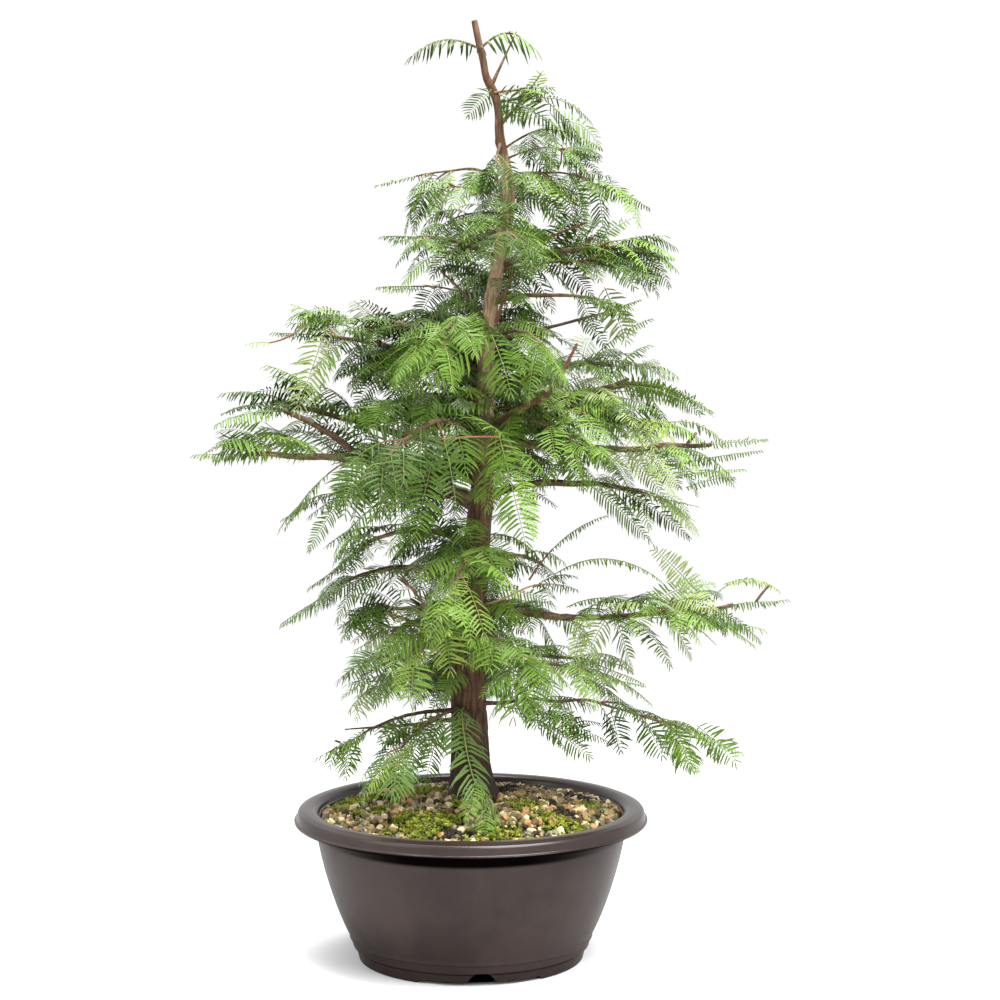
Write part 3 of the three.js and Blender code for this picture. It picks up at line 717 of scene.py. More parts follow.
def bark_group():
    """Stringy bark: fibres along the wood, dark in its cracks and tan where it has peeled."""
    if "stringy_bark" in bpy.data.node_groups:
        return bpy.data.node_groups["stringy_bark"]
    inputs = {"Vector": VECTOR, "Crack": FLOAT, "Peel": FLOAT}
    inputs |= {"Old": COLOUR, "Peeled": COLOUR, "In Cracks": COLOUR, "Fibre Scale": FLOAT}
    outputs = {"Color": COLOUR, "Roughness": FLOAT, "Height": FLOAT}
    tree, wires, given, result = new_group("stringy_bark", "ShaderNodeTree", inputs, outputs)
    fibre = wires.speckle(given["Vector"], given["Fibre Scale"], 4.0, 0.65)
    broad = wires.speckle(given["Vector"], wires.times(given["Fibre Scale"], 0.22), 2.0)
    peel = wires.spread(wires.maths("ADD", given["Peel"], wires.times(broad, 0.9)), 0.5, 1.05)
    skin = wires.mix(peel, given["Old"], given["Peeled"])
    dim = wires.node("ShaderNodeHueSaturation", {"Value": 0.56, "Saturation": 1.1, "Color": skin}).outputs[0]
    skin = wires.mix(wires.spread(fibre, 0.36, 0.62), dim, skin)
    wires.give(result["Color"], wires.mix(given["Crack"], skin, given["In Cracks"]))
    wires.give(result["Roughness"], wires.spread(fibre, 0.3, 0.7, 0.92, 0.66))
    wires.give(result["Height"], wires.maths("ADD", fibre, wires.times(broad, 0.5)))
    return tree


def bump_into(wires, surface, height, distance):
    """Bumps the surface by the height, up to the distance in metres."""
    bump = wires.node("ShaderNodeBump", {"Height": height, "Distance": distance})
    wires.give(surface.inputs["Normal"], bump.outputs[0])


def object_coordinates(wires, stretch=None):
    """Metres in the frame, or those times the stretch."""
    where = wires.node("ShaderNodeTexCoord").outputs["Object"]
    if stretch is None:
        return where
    return wires.node("ShaderNodeMapping", {"Vector": where, "Scale": stretch}).outputs[0]


def from_axis(wires, where):
    """How far each place is from the pot's axis, or from the axis's foot."""
    inputs = {0: where, 1: tuple(AXIS)}
    return wires.node("ShaderNodeVectorMath", inputs, operation="DISTANCE").outputs["Value"]


def mottled_finish(name, colours, scales, rough, bump, specular):
    """A material of two mingling colours. scales has the blotches' and the specks' scale, and their share."""
    light, dark = colours
    made, surface = new_finish(name, light, specular)
    wires = Wiring(made.node_tree)
    group = wires.node("ShaderNodeGroup", node_tree=mottle_group())
    wires.give(group.inputs["Vector"], object_coordinates(wires))
    values = ((*light, 1), (*dark, 1), *scales)
    for key, value in zip(("Light", "Dark", "Blotch Scale", "Speck Scale", "Speck Share"), values):
        group.inputs[key].default_value = value
    wires.give(surface.inputs["Base Color"], group.outputs["Color"])
    wires.give(surface.inputs["Roughness"], wires.spread(group.outputs["Height"], 0.3, 0.7, *rough))
    bump_into(wires, surface, group.outputs["Height"], bump)
    return made


# Painted shade on the pot: its near-black colour, painted as the lip's shadow on the wall and as the shade
# under the pot, and in metres how soft its lower edge is, where it stops at the lip, and how high it goes
# under the pot. The polish is the coat of the wall and of the lip.
PAINTED_SHADE_COLOUR = (0.0016, 0.0011, 0.0010, 1)
PAINTED_SHADE_EDGE = 0.0035
LIP_EDGE = (-0.001, 0.0005)
UNDERSIDE_EDGE = (0.0118, 0.0125)
POLISH = (0.32, 0.8)
POLISH_ROUGHNESS = 0.24


def plastic_finish(look):
    """Brown plastic, polished on the lip, with a painted shadow under the lip and painted shade under the pot.
    """
    colours = (tuple(look.scuffed), tuple(look.plastic))
    made = mottled_finish("brown_plastic", colours, (14.0, 620.0, 0.16), (0.30, 0.42), 0.00004, 0.0)
    surface = made.node_tree.nodes["Principled BSDF"]
    wires = Wiring(made.node_tree)
    place = wires.node("ShaderNodeSeparateXYZ", {0: object_coordinates(wires)}).outputs
    front = wires.maths("DIVIDE", wires.maths("SUBTRACT", float(AXIS[1]), place["Y"]), SHOULDER_RADIUS * MM)
    under = (RIM_HEIGHT - LIP_DEPTH) * MM
    lip = (under + LIP_EDGE[0], under + LIP_EDGE[1])
    # The painted shadow reaches further down in front, and it is fainter at the back.
    reach = wires.times(front, LIP_SHADE * MM)
    low = wires.maths("SUBTRACT", under - LIP_SHADE * MM, wires.times(reach, 0.45))
    # Painted shadow: the wall just under the lip is painted near-black, deepest in front.
    painted_shade = wires.spread(place["Z"], low, wires.maths("ADD", low, PAINTED_SHADE_EDGE))
    painted_shade = wires.times(painted_shade, wires.spread(place["Z"], *lip, 1.0, 0.0))
    painted_shade = wires.times(painted_shade, wires.spread(front, 0.5, 0.95, 0.25, 1.0))
    out = from_axis(wires, object_coordinates(wires, (1.0, 1.0, 0.0)))
    # Painted shade: the underside, the rib and the inside of the foot are painted near-black.
    painted_underside_shade = wires.spread(out, (FOOT_RADIUS - 2.2) * MM, (FOOT_RADIUS - 1.2) * MM, 1.0, 0.0)
    painted_underside_shade = wires.times(painted_underside_shade, wires.spread(place["Z"], *UNDERSIDE_EDGE, 1.0, 0.0))
    painted_shade = wires.maths("MAXIMUM", painted_shade, painted_underside_shade)
    socket = surface.inputs["Base Color"]
    # The painted shade darkens the plastic and takes away its coat.
    wires.give(socket, wires.mix(painted_shade, socket.links[0].from_socket, PAINTED_SHADE_COLOUR))
    polish = wires.spread(place["Z"], *lip, *POLISH)
    wires.give(surface.inputs["Coat Weight"], wires.times(polish, wires.maths("SUBTRACT", 1.0, painted_shade)))
    surface.inputs["Coat Roughness"].default_value = POLISH_ROUGHNESS
    return made


# The floor's two greys, and how far from the pot's axis, in metres, it goes from one to the other. The pale
# grey near the pot is painted light that lifts the pot's shadow on the floor, and the darker grey further off
# tones down the brightly lit floor there.
FLOOR_NEAR = (0.86, 0.86, 0.86, 1)
FLOOR_FAR = (0.42, 0.42, 0.42, 1)
FLOOR_FADE = (0.28, 0.62)


def floor_finish():
    """A pale floor, a little greyer far from the pot: painted light near the pot lifts its shadow on the
    floor.
    """
    made, surface = new_finish("pale_floor", FLOOR_NEAR[:3], 0.0, 0.9)
    wires = Wiring(made.node_tree)
    far = wires.spread(from_axis(wires, object_coordinates(wires)), *FLOOR_FADE)
    wires.give(surface.inputs["Base Color"], wires.mix(far, FLOOR_NEAR, FLOOR_FAR))
    return made


def bark_finish(name, old, peeled, cracks, fibre, bump, stretch=None):
    """Stringy bark whose colours follow the mesh's crack and peel."""
    made, surface = new_finish(name, old, 0.3)
    wires = Wiring(made.node_tree)
    group = wires.node("ShaderNodeGroup", node_tree=bark_group())
    wires.give(group.inputs["Vector"], object_coordinates(wires, stretch))
    for noted in ("crack", "peel"):
        values = wires.node("ShaderNodeAttribute", attribute_name=noted).outputs["Fac"]
        wires.give(group.inputs[noted.title()], values)
    for key, value in {"Old": old, "Peeled": peeled, "In Cracks": cracks}.items():
        group.inputs[key].default_value = (*value, 1)
    group.inputs["Fibre Scale"].default_value = fibre
    wires.give(surface.inputs["Base Color"], group.outputs["Color"])
    wires.give(surface.inputs["Roughness"], group.outputs["Roughness"])
    bump_into(wires, surface, group.outputs["Height"], bump)
    return made


# ---------- Geometry Nodes ----------


def tube_tree():
    """Round tubes along the edges of a mesh, as thick as its girth says."""
    if "tubes_along_paths" in bpy.data.node_groups:
        return bpy.data.node_groups["tubes_along_paths"]
    inputs = {"Paths": GEOMETRY, "Sides": WHOLE, "Thickness": FLOAT, "Finish": FINISH}
    outputs = {"Tubes": GEOMETRY}
    tree, wires, given, result = new_group("tubes_along_paths", "GeometryNodeTree", inputs, outputs)
    curves = wires.node("GeometryNodeMeshToCurve", {0: given["Paths"]}).outputs[0]
    girth = wires.attribute("girth")
    radius = wires.times(girth, wires.times(given["Thickness"], 0.5))
    inputs = {"Resolution": given["Sides"], "Radius": 1.0}
    ring = wires.node("GeometryNodeCurvePrimitiveCircle", inputs).outputs[0]
    inputs = {"Curve": curves, "Profile Curve": ring, "Fill Caps": True, "Scale": radius}
    tubes = wires.node("GeometryNodeCurveToMesh", inputs).outputs[0]
    tubes = wires.node("GeometryNodeRealizeInstances", {0: tubes}).outputs[0]
    tubes = wires.node("GeometryNodeSetShadeSmooth", {0: tubes}).outputs[0]
    inputs = {"Geometry": tubes, "Material": given["Finish"]}
    wires.give(result["Tubes"], wires.node("GeometryNodeSetMaterial", inputs).outputs[0])
    return tree


def scatter_tree(kinds):
    """Small things strewn over a surface, as close as its cover says, each in one of the finishes."""
    name = f"strewn_{kinds}"
    inputs = {"Ground": GEOMETRY, "Things": "NodeSocketCollection", "Spacing": FLOAT, "Density": FLOAT}
    inputs |= {"Smallest": FLOAT, "Largest": FLOAT, "Lift": FLOAT, "Tumble": FLOAT, "Seed": WHOLE}
    inputs |= {f"Finish {k}": FINISH for k in range(kinds)}
    tree, wires, given, result = new_group(name, "GeometryNodeTree", inputs, {"Strewn": GEOMETRY})
    cover = wires.attribute("cover")
    crumbs = wires.attribute("crumbs")
    inputs = {"Mesh": given["Ground"], "Distance Min": given["Spacing"], "Density Max": given["Density"]}
    points = wires.node("GeometryNodeDistributePointsOnFaces", inputs, distribute_method="POISSON")
    wires.give(points.inputs["Density Factor"], cover)
    wires.give(points.inputs["Seed"], given["Seed"])

    def chance(low, high, salt, kind="FLOAT"):
        """A random value for each thing and salt."""
        made = wires.node("FunctionNodeRandomValue", data_type=kind)
        sockets = {"FLOAT": (2, 3, 1), "INT": (4, 5, 2), "FLOAT_VECTOR": (0, 1, 0)}[kind]
        wires.give(made.inputs[sockets[0]], low)
        wires.give(made.inputs[sockets[1]], high)
        wires.give(made.inputs["Seed"], wires.maths("ADD", given["Seed"], salt))
        return made.outputs[sockets[2]]

    # The last finish is kept for what lies in the patches of crumbs.
    inputs = {0: chance(0.0, 1.0, 11.0), 1: crumbs}
    dark = wires.node("FunctionNodeCompare", inputs, operation="LESS_THAN").outputs[0]
    tone = wires.node("GeometryNodeSwitch", input_type="INT")
    wires.give(tone.inputs["Switch"], dark)
    wires.give(tone.inputs["False"], chance(0, kinds - 2, 12.0, "INT"))
    tone.inputs["True"].default_value = kinds - 1
    inputs = {"Geometry": points.outputs["Points"], "Name": "tone", "Value": tone.outputs[0]}
    toned = wires.node("GeometryNodeStoreNamedAttribute", inputs, data_type="INT", domain="POINT")
    lifted = wires.node("GeometryNodeSetPosition", {"Geometry": toned.outputs[0]})
    wires.give(lifted.inputs["Offset"], wires.node("ShaderNodeCombineXYZ", {"Z": given["Lift"]}).outputs[0])
    things = wires.node("GeometryNodeCollectionInfo", {"Collection": given["Things"]})
    things.inputs["Separate Children"].default_value = True
    things.inputs["Reset Children"].default_value = True
    turned = wires.node("ShaderNodeVectorMath", operation="MULTIPLY")
    full_turn = (math.tau, math.tau, math.tau)
    wires.give(turned.inputs[0], chance((0.0, 0.0, 0.0), full_turn, 13.0, "FLOAT_VECTOR"))
    upright = wires.node("ShaderNodeCombineXYZ", {"X": given["Tumble"], "Y": given["Tumble"], "Z": 1.0})
    wires.give(turned.inputs[1], upright.outputs[0])
    inputs = {"Points": lifted.outputs[0], "Instance": things.outputs[0]}
    strewn = wires.node("GeometryNodeInstanceOnPoints", inputs)
    strewn.inputs["Pick Instance"].default_value = True
    wires.give(strewn.inputs["Rotation"], turned.outputs[0])
    wires.give(strewn.inputs["Scale"], chance(given["Smallest"], given["Largest"], 14.0))
    shape = wires.node("GeometryNodeRealizeInstances", {0: strewn.outputs[0]}).outputs[0]
    kept = wires.attribute("tone", "INT")
    for k in range(kinds):
        same = wires.node("FunctionNodeCompare", {2: kept, 3: k}, data_type="INT", operation="EQUAL")
        inputs = {"Geometry": shape, "Selection": same.outputs[0], "Material": given[f"Finish {k}"]}
        shape = wires.node("GeometryNodeSetMaterial", inputs).outputs[0]
    wires.give(result["Strewn"], shape)
    return tree


def grown_from_nodes(name, base, tree, **values):
    """The plain mesh that a Geometry Nodes tree makes of the base, which is used up."""
    modifier = base.modifiers.new("grow", "NODES")
    modifier.node_group = tree
    sockets = {s.name: s.identifier for s in tree.interface.items_tree if s.in_out == "INPUT"}
    for key, value in values.items():
        modifier[sockets[key.replace("_", " ")]] = value
    mesh = evaluated_mesh(base)
    mesh.name = name
    made = linked(name, mesh)
    discard(base)
    return made


# ---------- the tree's lines ----------


def trunk_at(height):
    """The trunk's centre and girth at each height, on a smooth curve through its rows."""
    z = np.clip(np.atleast_1d(height).astype(float), TRUNK[0, 0], TRUNK[-1, 0])
    k = np.clip(np.searchsorted(TRUNK[:, 0], z, "right") - 1, 0, len(TRUNK) - 2)
    rows = TRUNK[:, 1:3]
    slopes = np.gradient(rows, TRUNK[:, 0], axis=0)
    span = (TRUNK[k + 1, 0] - TRUNK[k, 0])[:, None]
    t = (z[:, None] - TRUNK[k, 0][:, None]) / span
    place = (2 * t**3 - 3 * t**2 + 1) * rows[k] + (t**3 - 2 * t**2 + t) * span * slopes[k]
    place += (3 * t**2 - 2 * t**3) * rows[k + 1] + (t**3 - t**2) * span * slopes[k + 1]
    girth = lerp(TRUNK[k, 3], TRUNK[k + 1, 3], t[:, 0])
    return np.column_stack([place, z]), girth


# A bough's crookedness: how far apart its bends are, and how far they go, at most and for its reach.
BEND_STEP = 26.0
MOST_SWAY = 2.6
SWAY_SHARE = 0.016


def bough_ways(bough):
    """Where a bough leaves the trunk, its level way, and the way across it."""
    way = heading_at(math.radians(bough.turn))
    return trunk_at(bough.height)[0][0], way, np.array([-way[1], way[0], 0.0])


def bough_line(bough, shares):
    """Points along a bough's middle at the shares of its way, a little crooked."""
    s = np.asarray(shares, float)
    skew = math.log(0.5) / math.log(bough.peak)
    lift = bough.rise * s + bough.bow * np.sin(np.pi * np.power(np.clip(s, 0, 1), skew))
    start, way, side = bough_ways(bough)
    line = start + way * (bough.reach * s)[:, None] + UP * lift[:, None]
    beat = s * bough.reach / BEND_STEP
    salt = bough.height * 0.37 + bough.turn * 0.11
    sway = min(MOST_SWAY, bough.reach * SWAY_SHARE) * np.minimum(s * 4, 1)
    along = np.column_stack([beat, np.full_like(beat, salt), np.zeros_like(beat)])
    return line + side * (noise(along, 3) * sway)[:, None] + UP * (noise(along, 4) * sway)[:, None]


def bough_girth(bough, shares):
    """How thick a bough is at the shares of its way."""
    return bough.girth * LIMB_SHARE * lerp(1.0, TIP_SHARE, np.asarray(shares, float))


# ---------- shoots, feathers and needles ----------

GRAVITY = -UP
# Not quite up, so that an upright shoot has a level direction across it too.
NEARLY_UP = UP + np.array([0.013, 0.007, 0.0])
LEANING_UP = UP + 0.01
# The steps between the points of a shoot, and of a feather's stalk.
SHOOT_STRIDE = 5.0
STALK_STEP = 9.0
# A feather's needles stand between these shares of its stalk, and crowd towards its end.
NEEDLE_START = 0.07
NEEDLE_END = 0.985
END_CROWD = 0.88
# How much closer short needles stand, and how much wider apart long ones.
STEP_LIMITS = (0.84, 1.5)
FEWEST_PAIRS = 5
MISSING_NEEDLES = 0.03
# How much needles cup, sag and sweep forward.
CUP = (-0.1, 0.2)
SAG = (0.25, 0.8)
SWEEP = (0.0, 0.18)
# The stalk's girth, and its tip's share of that, and the girth of a long bare foot.
RACHIS_GIRTH = 1.1
RACHIS_TIP = 0.45
BROWN_FOOT = (1.9, 1.3)
# How far feathers may reach past the tip of their bough.
TIP_ROOM = 18.0
# The needles at the end of a bough, as a share of the others.
TAIL_NEEDLES = 0.66
# How often shoots by the trunk take the darker greens: partly older foliage and partly painted shade for
# the inside of the crown.
INNER_SHADE = 0.3
# Above 1, shoots stand closer near the foot of a bough than near its tip.
CROWD = 1.2
# Foliage on a bough without wood starts at least this far from the trunk's middle.
FIRST_LEAF = 10.0
# The chances that a place on a bough takes its main green, and lacks a side shoot. How far side shoots turn
# from the bough near its foot and its tip, in degrees, and how far that varies.
MAIN_SHARE = 0.5
GAP_CHANCE = 0.08
SIDE_ANGLES = (64, 30)
SIDE_VARIES = 9
# The feather at a bough's tip: its share of the reach, and its greatest length.
TAIL_SHARE = 0.4
LONGEST_TAIL = 70.0
# How far a stalk may stray out of the space that its bough fills.
SLACK = 7.0
# Needles and stalks stay this far inside the plant's own box.
ROOM = 3.0
ROOM_LOW = (np.array(CAD_LOW) - AXIS) / MM + ROOM
ROOM_HIGH = (np.array(CAD_HIGH) - AXIS) / MM - ROOM


def kept_in(bough, points):
    """The path up to where it leaves the space that its bough's foliage may fill."""
    leaf_from, spread, above, below = bough.leaf
    start, way, side = bough_ways(bough)
    share = (points - start) @ way / bough.reach
    aside = np.abs((points - start) @ side)
    rise = points[:, 2] - bough_line(bough, np.clip(share, 0, 1))[:, 2]
    along = np.clip((share - leaf_from + 0.12) / (1.14 - leaf_from), 0, 1)
    swell = np.maximum(np.sin(np.pi * along) ** 0.55, 0.3)
    outside = (aside > spread * swell + SLACK) | (rise > above * swell + SLACK)
    outside |= (rise < -below * swell - SLACK) | (share > 1 + SLACK / bough.reach)
    if outside.any():
        points = points[: max(int(outside.argmax()) + 1, 5)]
    return points


class Crop:
    """What the boughs have grown so far.

    needles has lists of arrays by region: the needles' places, directions, blades, bends, lengths and greens.
    paths has the points and girths of twigs and stalks by kind.
    """

    def __init__(self):
        self.needles = defaultdict(list)
        self.paths = defaultdict(list)


def shoot_path(start, heading, length, droop, rng, wander=0.05):
    """Points along a shoot that bends under its own weight, by droop in radians."""
    count = max(4, int(round(length / SHOOT_STRIDE)))
    stride = length / count
    heading = unit(heading)
    points = [start]
    for _ in range(count):
        pull = GRAVITY - heading * float(heading @ GRAVITY)
        heading = unit(heading + pull * (droop / count) + rng.normal(0, wander, 3) * math.sqrt(1 / count))
        points.append(points[-1] + heading * stride)
    points = np.array(points)
    outside = ((points < ROOM_LOW) | (points > ROOM_HIGH)).any(1)
    if outside.any():
        points = points[: max(int(outside.argmax()), 3)]
    return points


def along_path(points, distances):
    """Places and headings at distances along a line of points."""
    reached = way_along(points)
    place = np.column_stack([np.interp(distances, reached, points[:, k]) for k in range(3)])
    k = np.clip(np.searchsorted(reached, distances, "right") - 1, 0, len(points) - 2)
    bends = unit(np.diff(points, axis=0))
    ahead = unit(bends[k] + bends[np.minimum(k + 1, len(points) - 2)] * 0.5)
    return place, ahead


def sides_of(ahead, up=UP):
    """The level direction across each heading, and the one above it."""
    level = unit(np.cross(ahead, up))
    return level, np.cross(level, ahead)


def short_share(length):
    """Short feathers are slimmer: their needles' share of a long one's."""
    return min(1.0, 0.5 + length / 120)


def feather_outline(share, bare):
    """The needles' length along a feather, as a share of the longest."""
    return (0.5 + 0.5 * smooth(-0.02, 0.2, share - bare)) * (1 - 0.6 * smooth(0.6, 1.02, share))


def needle_lean(share):
    """How far needles turn from the stalk: square at its foot, and forward at its end."""
    return np.radians(lerp(90.0, 80.0, share) - 44 * smooth(0.86, 1.0, share))


def feather(crop, region, points, size, tint, rng, look, roll=0.0, bare=NEEDLE_START):
    """Needles in two ranks along a stalk. size is the longest needle's length."""
    length = leg_lengths(points).sum()
    spacing = look.needle_step * float(np.clip(size / look.needle_length, *STEP_LIMITS))
    pairs = max(FEWEST_PAIRS, int(length * (1 - bare) / spacing))
    share = lerp(bare, NEEDLE_END, np.linspace(0, 1, pairs) ** END_CROWD)
    place, ahead = along_path(points, share * length)
    level, above = sides_of(ahead, NEARLY_UP)
    flat = level * math.cos(roll) + above * math.sin(roll)
    face = unit(np.cross(flat, ahead))
    outline, lean = feather_outline(share, bare), needle_lean(share)
    cup, sag, sweep = rng.uniform(*CUP), rng.uniform(*SAG), rng.uniform(*SWEEP)
    for side in (-1.0, 1.0):
        jitter = rng.normal(0, 1, (pairs, 5))
        angle = lean + np.radians(5.0) * jitter[:, 0]
        out = ahead * np.cos(angle)[:, None] + flat * (side * np.sin(angle))[:, None]
        out = unit(out + face * (cup + 0.08 * jitter[:, 1])[:, None])
        pull = GRAVITY - out * (out @ GRAVITY)[:, None]
        bend = pull * (sag + 0.1 * jitter[:, 2])[:, None] + ahead * (sweep + 0.06 * jitter[:, 3])[:, None]
        blade = unit(np.cross(face, out))
        long = size * outline * (1 + 0.08 * jitter[:, 4])
        keep = rng.random(pairs) > MISSING_NEEDLES
        needles = (place, out, blade, bend, long, np.full(pairs, tint))
        crop.needles[region].append([values[keep] for values in needles])
    stalk = along_path(points, np.linspace(0, length, max(4, int(length / STALK_STEP))))[0]
    girths = RACHIS_GIRTH * short_share(length) * np.linspace(1.0, RACHIS_TIP, len(stalk))
    crop.paths["green"].append((stalk, girths))
    if bare > 2 * NEEDLE_START:
        foot = along_path(points, np.linspace(0, length * bare, 5))[0]
        crop.paths["brown"].append((foot, np.linspace(*BROWN_FOOT, 5)))


def pick(rng, tint):
    """The number of a green out of that mix."""
    return int(rng.choice(len(GREEN_NAMES), p=np.array(TINTS[tint]) / sum(TINTS[tint])))


def needle_size(look, scale, length, rng):
    """The longest needle of a feather of that length on the bough."""
    return look.needle_length * scale * short_share(length) * rng.uniform(0.86, 1.1)


# A side twig that carries feathers: how much of it is wood, where its feathers start and end, the chance that
# one is missing, how far it turns from the twig, in degrees, and its least and greatest length.
WOODY = (0.35, 0.55)
TWIG_LEAVES = (0.14, 0.66)
TWIG_GAP_CHANCE = 0.1
TWIG_ANGLES = (48, 66)
SHORTEST_SIDE = 22.0
LONGEST_SIDE = 48.0


def compound_shoot(crop, bough, region, points, tint, rng, look):
    """A side twig that carries feathers in two ranks and ends in one."""
    length = leg_lengths(points).sum()
    woody = rng.uniform(*WOODY) * length
    place = along_path(points, np.linspace(0, woody, 5))[0]
    kind = "gold" if bough.twig == "gold" else "brown"
    crop.paths[kind].append((place, np.linspace(1.9, 1.2, 5) * min(1.2, 0.6 + length / 120)))
    step = look.feather_step
    for spot in np.arange(length * TWIG_LEAVES[0], length * TWIG_LEAVES[1], step):
        for side in (-1.0, 1.0):
            if rng.random() < TWIG_GAP_CHANCE:
                continue
            at, ahead = along_path(points, np.array([spot + rng.uniform(-0.3, 0.3) * step]))
            level, above = sides_of(ahead[0], LEANING_UP)
            angle = math.radians(rng.uniform(*TWIG_ANGLES))
            reach = (0.34 + 0.40 * (1 - spot / length)) * length * rng.uniform(0.8, 1.15)
            reach = min(max(reach, SHORTEST_SIDE), LONGEST_SIDE)
            out = ahead[0] * math.cos(angle) + level * side * math.sin(angle) + above * rng.uniform(-0.1, 0.4)
            path = shoot_path(at[0], out, reach, rng.uniform(0.4, 1.1), rng)
            shade = tint if rng.random() < 0.7 else pick(rng, bough.tint)
            size = needle_size(look, bough.needle, reach, rng)
            feather(crop, region, path, size, shade, rng, look, rng.normal(0, 0.3))
    end = along_path(points, np.linspace(woody, length, max(5, int((length - woody) / 6))))[0]
    feather(crop, region, end, needle_size(look, bough.needle, length, rng), tint, rng, look, 0.0, 0.02)


def node_green(bough, share, main, rng):
    """The green of what grows at one node of a bough."""
    tint = main if rng.random() < MAIN_SHARE else pick(rng, bough.tint)
    # Painted shade, in part: near the trunk, shoots take the deep or the mid green more often.
    if rng.random() < INNER_SHADE * (1 - 1.6 * share):
        tint = GREEN_NAMES.index("deep" if rng.random() < 0.7 else "mid")
    return tint


def grow_bough(crop, bough, region, rng, look):
    """Foliage on one bough: feathers and leafy twigs at its sides, on top and hanging."""
    leaf_from, spread, above, below = bough.leaf
    if not bough.wood:
        leaf_from = max(leaf_from, FIRST_LEAF / bough.reach)
    leafy = bough.reach * (bough.close - leaf_from)
    nodes = max(2, int(leafy / (look.shoot_step / bough.fill)))
    main = pick(rng, bough.tint)
    if bough.single:
        line = bough_line(bough, np.linspace(0.0, 1.0, 12))
        feather(crop, region, line, look.needle_length * bough.needle, main, rng, look, 0.0, 0.04)
        return
    for k in range(nodes):
        u = ((k + 0.5 + rng.uniform(-0.35, 0.35)) / nodes) ** CROWD
        share = lerp(leaf_from, bough.close, u)
        line = bough_line(bough, np.array([share - 0.02, share, share + 0.02]))
        ahead = unit(line[2] - line[0])
        level, high = sides_of(ahead)
        left = bough.reach * (1 - share) + TIP_ROOM
        wide = spread * max(math.sin(math.pi * lerp(0.2, 0.92, u)) ** 0.7, 0.4)
        tint = node_green(bough, share, main, rng)

        def grow(out, length, droop, roll, roll_of=rng.normal):
            """One plain feather from this node."""
            path = kept_in(bough, shoot_path(line[1], out, length, rng.uniform(*droop), rng))
            size = needle_size(look, bough.needle, length, rng)
            feather(crop, region, path, size, tint, rng, look, roll_of(*roll))

        for side in (-1.0, 1.0):
            if rng.random() < GAP_CHANCE:
                continue
            angle = math.radians(lerp(*SIDE_ANGLES, u) + rng.normal(0, SIDE_VARIES))
            length = wide / math.sin(max(angle, 0.55)) * rng.uniform(0.8, 1.4)
            length = min(length, left / max(math.cos(angle), 0.3))
            out = ahead * math.cos(angle) + level * side * math.sin(angle)
            out = out + high * rng.normal(bough.tilt, 0.26)
            droop = bough.droop * rng.uniform(0.7, 1.5) + bough.hang * rng.uniform(0.0, 0.7)
            path = kept_in(bough, shoot_path(line[1], out, length, droop, rng))
            if length > look.compound_from and len(path) > 8 and rng.random() < look.compound_share:
                compound_shoot(crop, bough, region, path, tint, rng, look)
            else:
                bare = rng.uniform(0.18, 0.34) if rng.random() < look.bare_share else NEEDLE_START
                size = needle_size(look, bough.needle, length, rng)
                feather(crop, region, path, size, tint, rng, look, rng.normal(0, 0.3), bare)
        if rng.random() < bough.top:
            out = ahead * rng.uniform(0.4, 1.0) + high * 0.85 + level * rng.uniform(-0.8, 0.8)
            length = min(max(above * rng.uniform(1.8, 3.2), 36.0), left * 1.4)
            grow(out, length, (1.1, 2.1), (0, 0.5))
        if rng.random() < 0.1 + 0.7 * bough.hang:
            out = ahead * rng.uniform(0.3, 0.9) - high * 0.5 + level * rng.uniform(-0.8, 0.8)
            length = max(below * rng.uniform(1.0, 1.6), 34.0)
            grow(out, length, (0.4, 1.0), (-1.4, 1.4), rng.uniform)
    end = min(LONGEST_TAIL, TAIL_SHARE * bough.reach)
    tail = bough_line(bough, np.linspace(1 - end / bough.reach, 1.0, 9))
    size = needle_size(look, bough.needle, LONGEST_TAIL, rng) * TAIL_NEEDLES
    feather(crop, region, tail, size, main, rng, look, rng.normal(0, 0.2), 0.0)


# Sprouts on the trunk: between which heights they stand, and their least and greatest length.
SPROUT_HEIGHTS = (236.0, 676.0)
SPROUT_LENGTHS = (30, 74)
# Above this height the crown is the crest, and below the other it is the lower crown.
CREST_FROM = 590
LOWER_TO = 345


def grow_sprouts(crop, rng, look):
    """Short feathers straight from the trunk, except where it shows."""
    for k, height in enumerate(np.arange(*SPROUT_HEIGHTS, look.sprout_step)):
        turn = k * GOLDEN_TURN + rng.normal(0, 0.3)
        radial = heading_at(turn)
        middle, girth = trunk_at(height)
        for low, high, chance in BARE_STRETCHES:
            if low < height < high and radial[1] < 0.2 and rng.random() < chance:
                break
        else:
            length = rng.uniform(*SPROUT_LENGTHS) * lerp(1.0, 0.62, smooth(560, 700, height))
            across = np.array([radial[1], -radial[0], 0.0])
            out = radial + UP * rng.uniform(0.1, 0.7) + across * rng.normal(0, 0.3)
            path = shoot_path(middle[0] + radial * girth[0] * 0.4, out, length, rng.uniform(0.7, 1.6), rng)
            region = "crest" if height > CREST_FROM else "sprouts"
            # Painted light and shade: sprouts that face the front take the bright mix, and those that face the
            # back the dark one.
            tint = pick(rng, "bright" if radial[1] < 0 else "dark")
            size = needle_size(look, 1.0, length, rng)
            feather(crop, region, path, size, tint, rng, look, rng.normal(0, 0.4))


def curve_between(ends, steps):
    """Points along the smooth curve that four guide points draw."""
    t = np.linspace(0, 1, steps)[:, None]
    a, b, c, d = np.array(ends, float)
    return (1 - t) ** 3 * a + 3 * t * (1 - t) ** 2 * b + 3 * t * t * (1 - t) * c + t**3 * d


# The great frond's side feathers: the share of its way, and the side.
FROND_SIDES = ((0.70, -1.0), (0.74, 1.0), (0.82, -1.0), (0.88, 1.0))


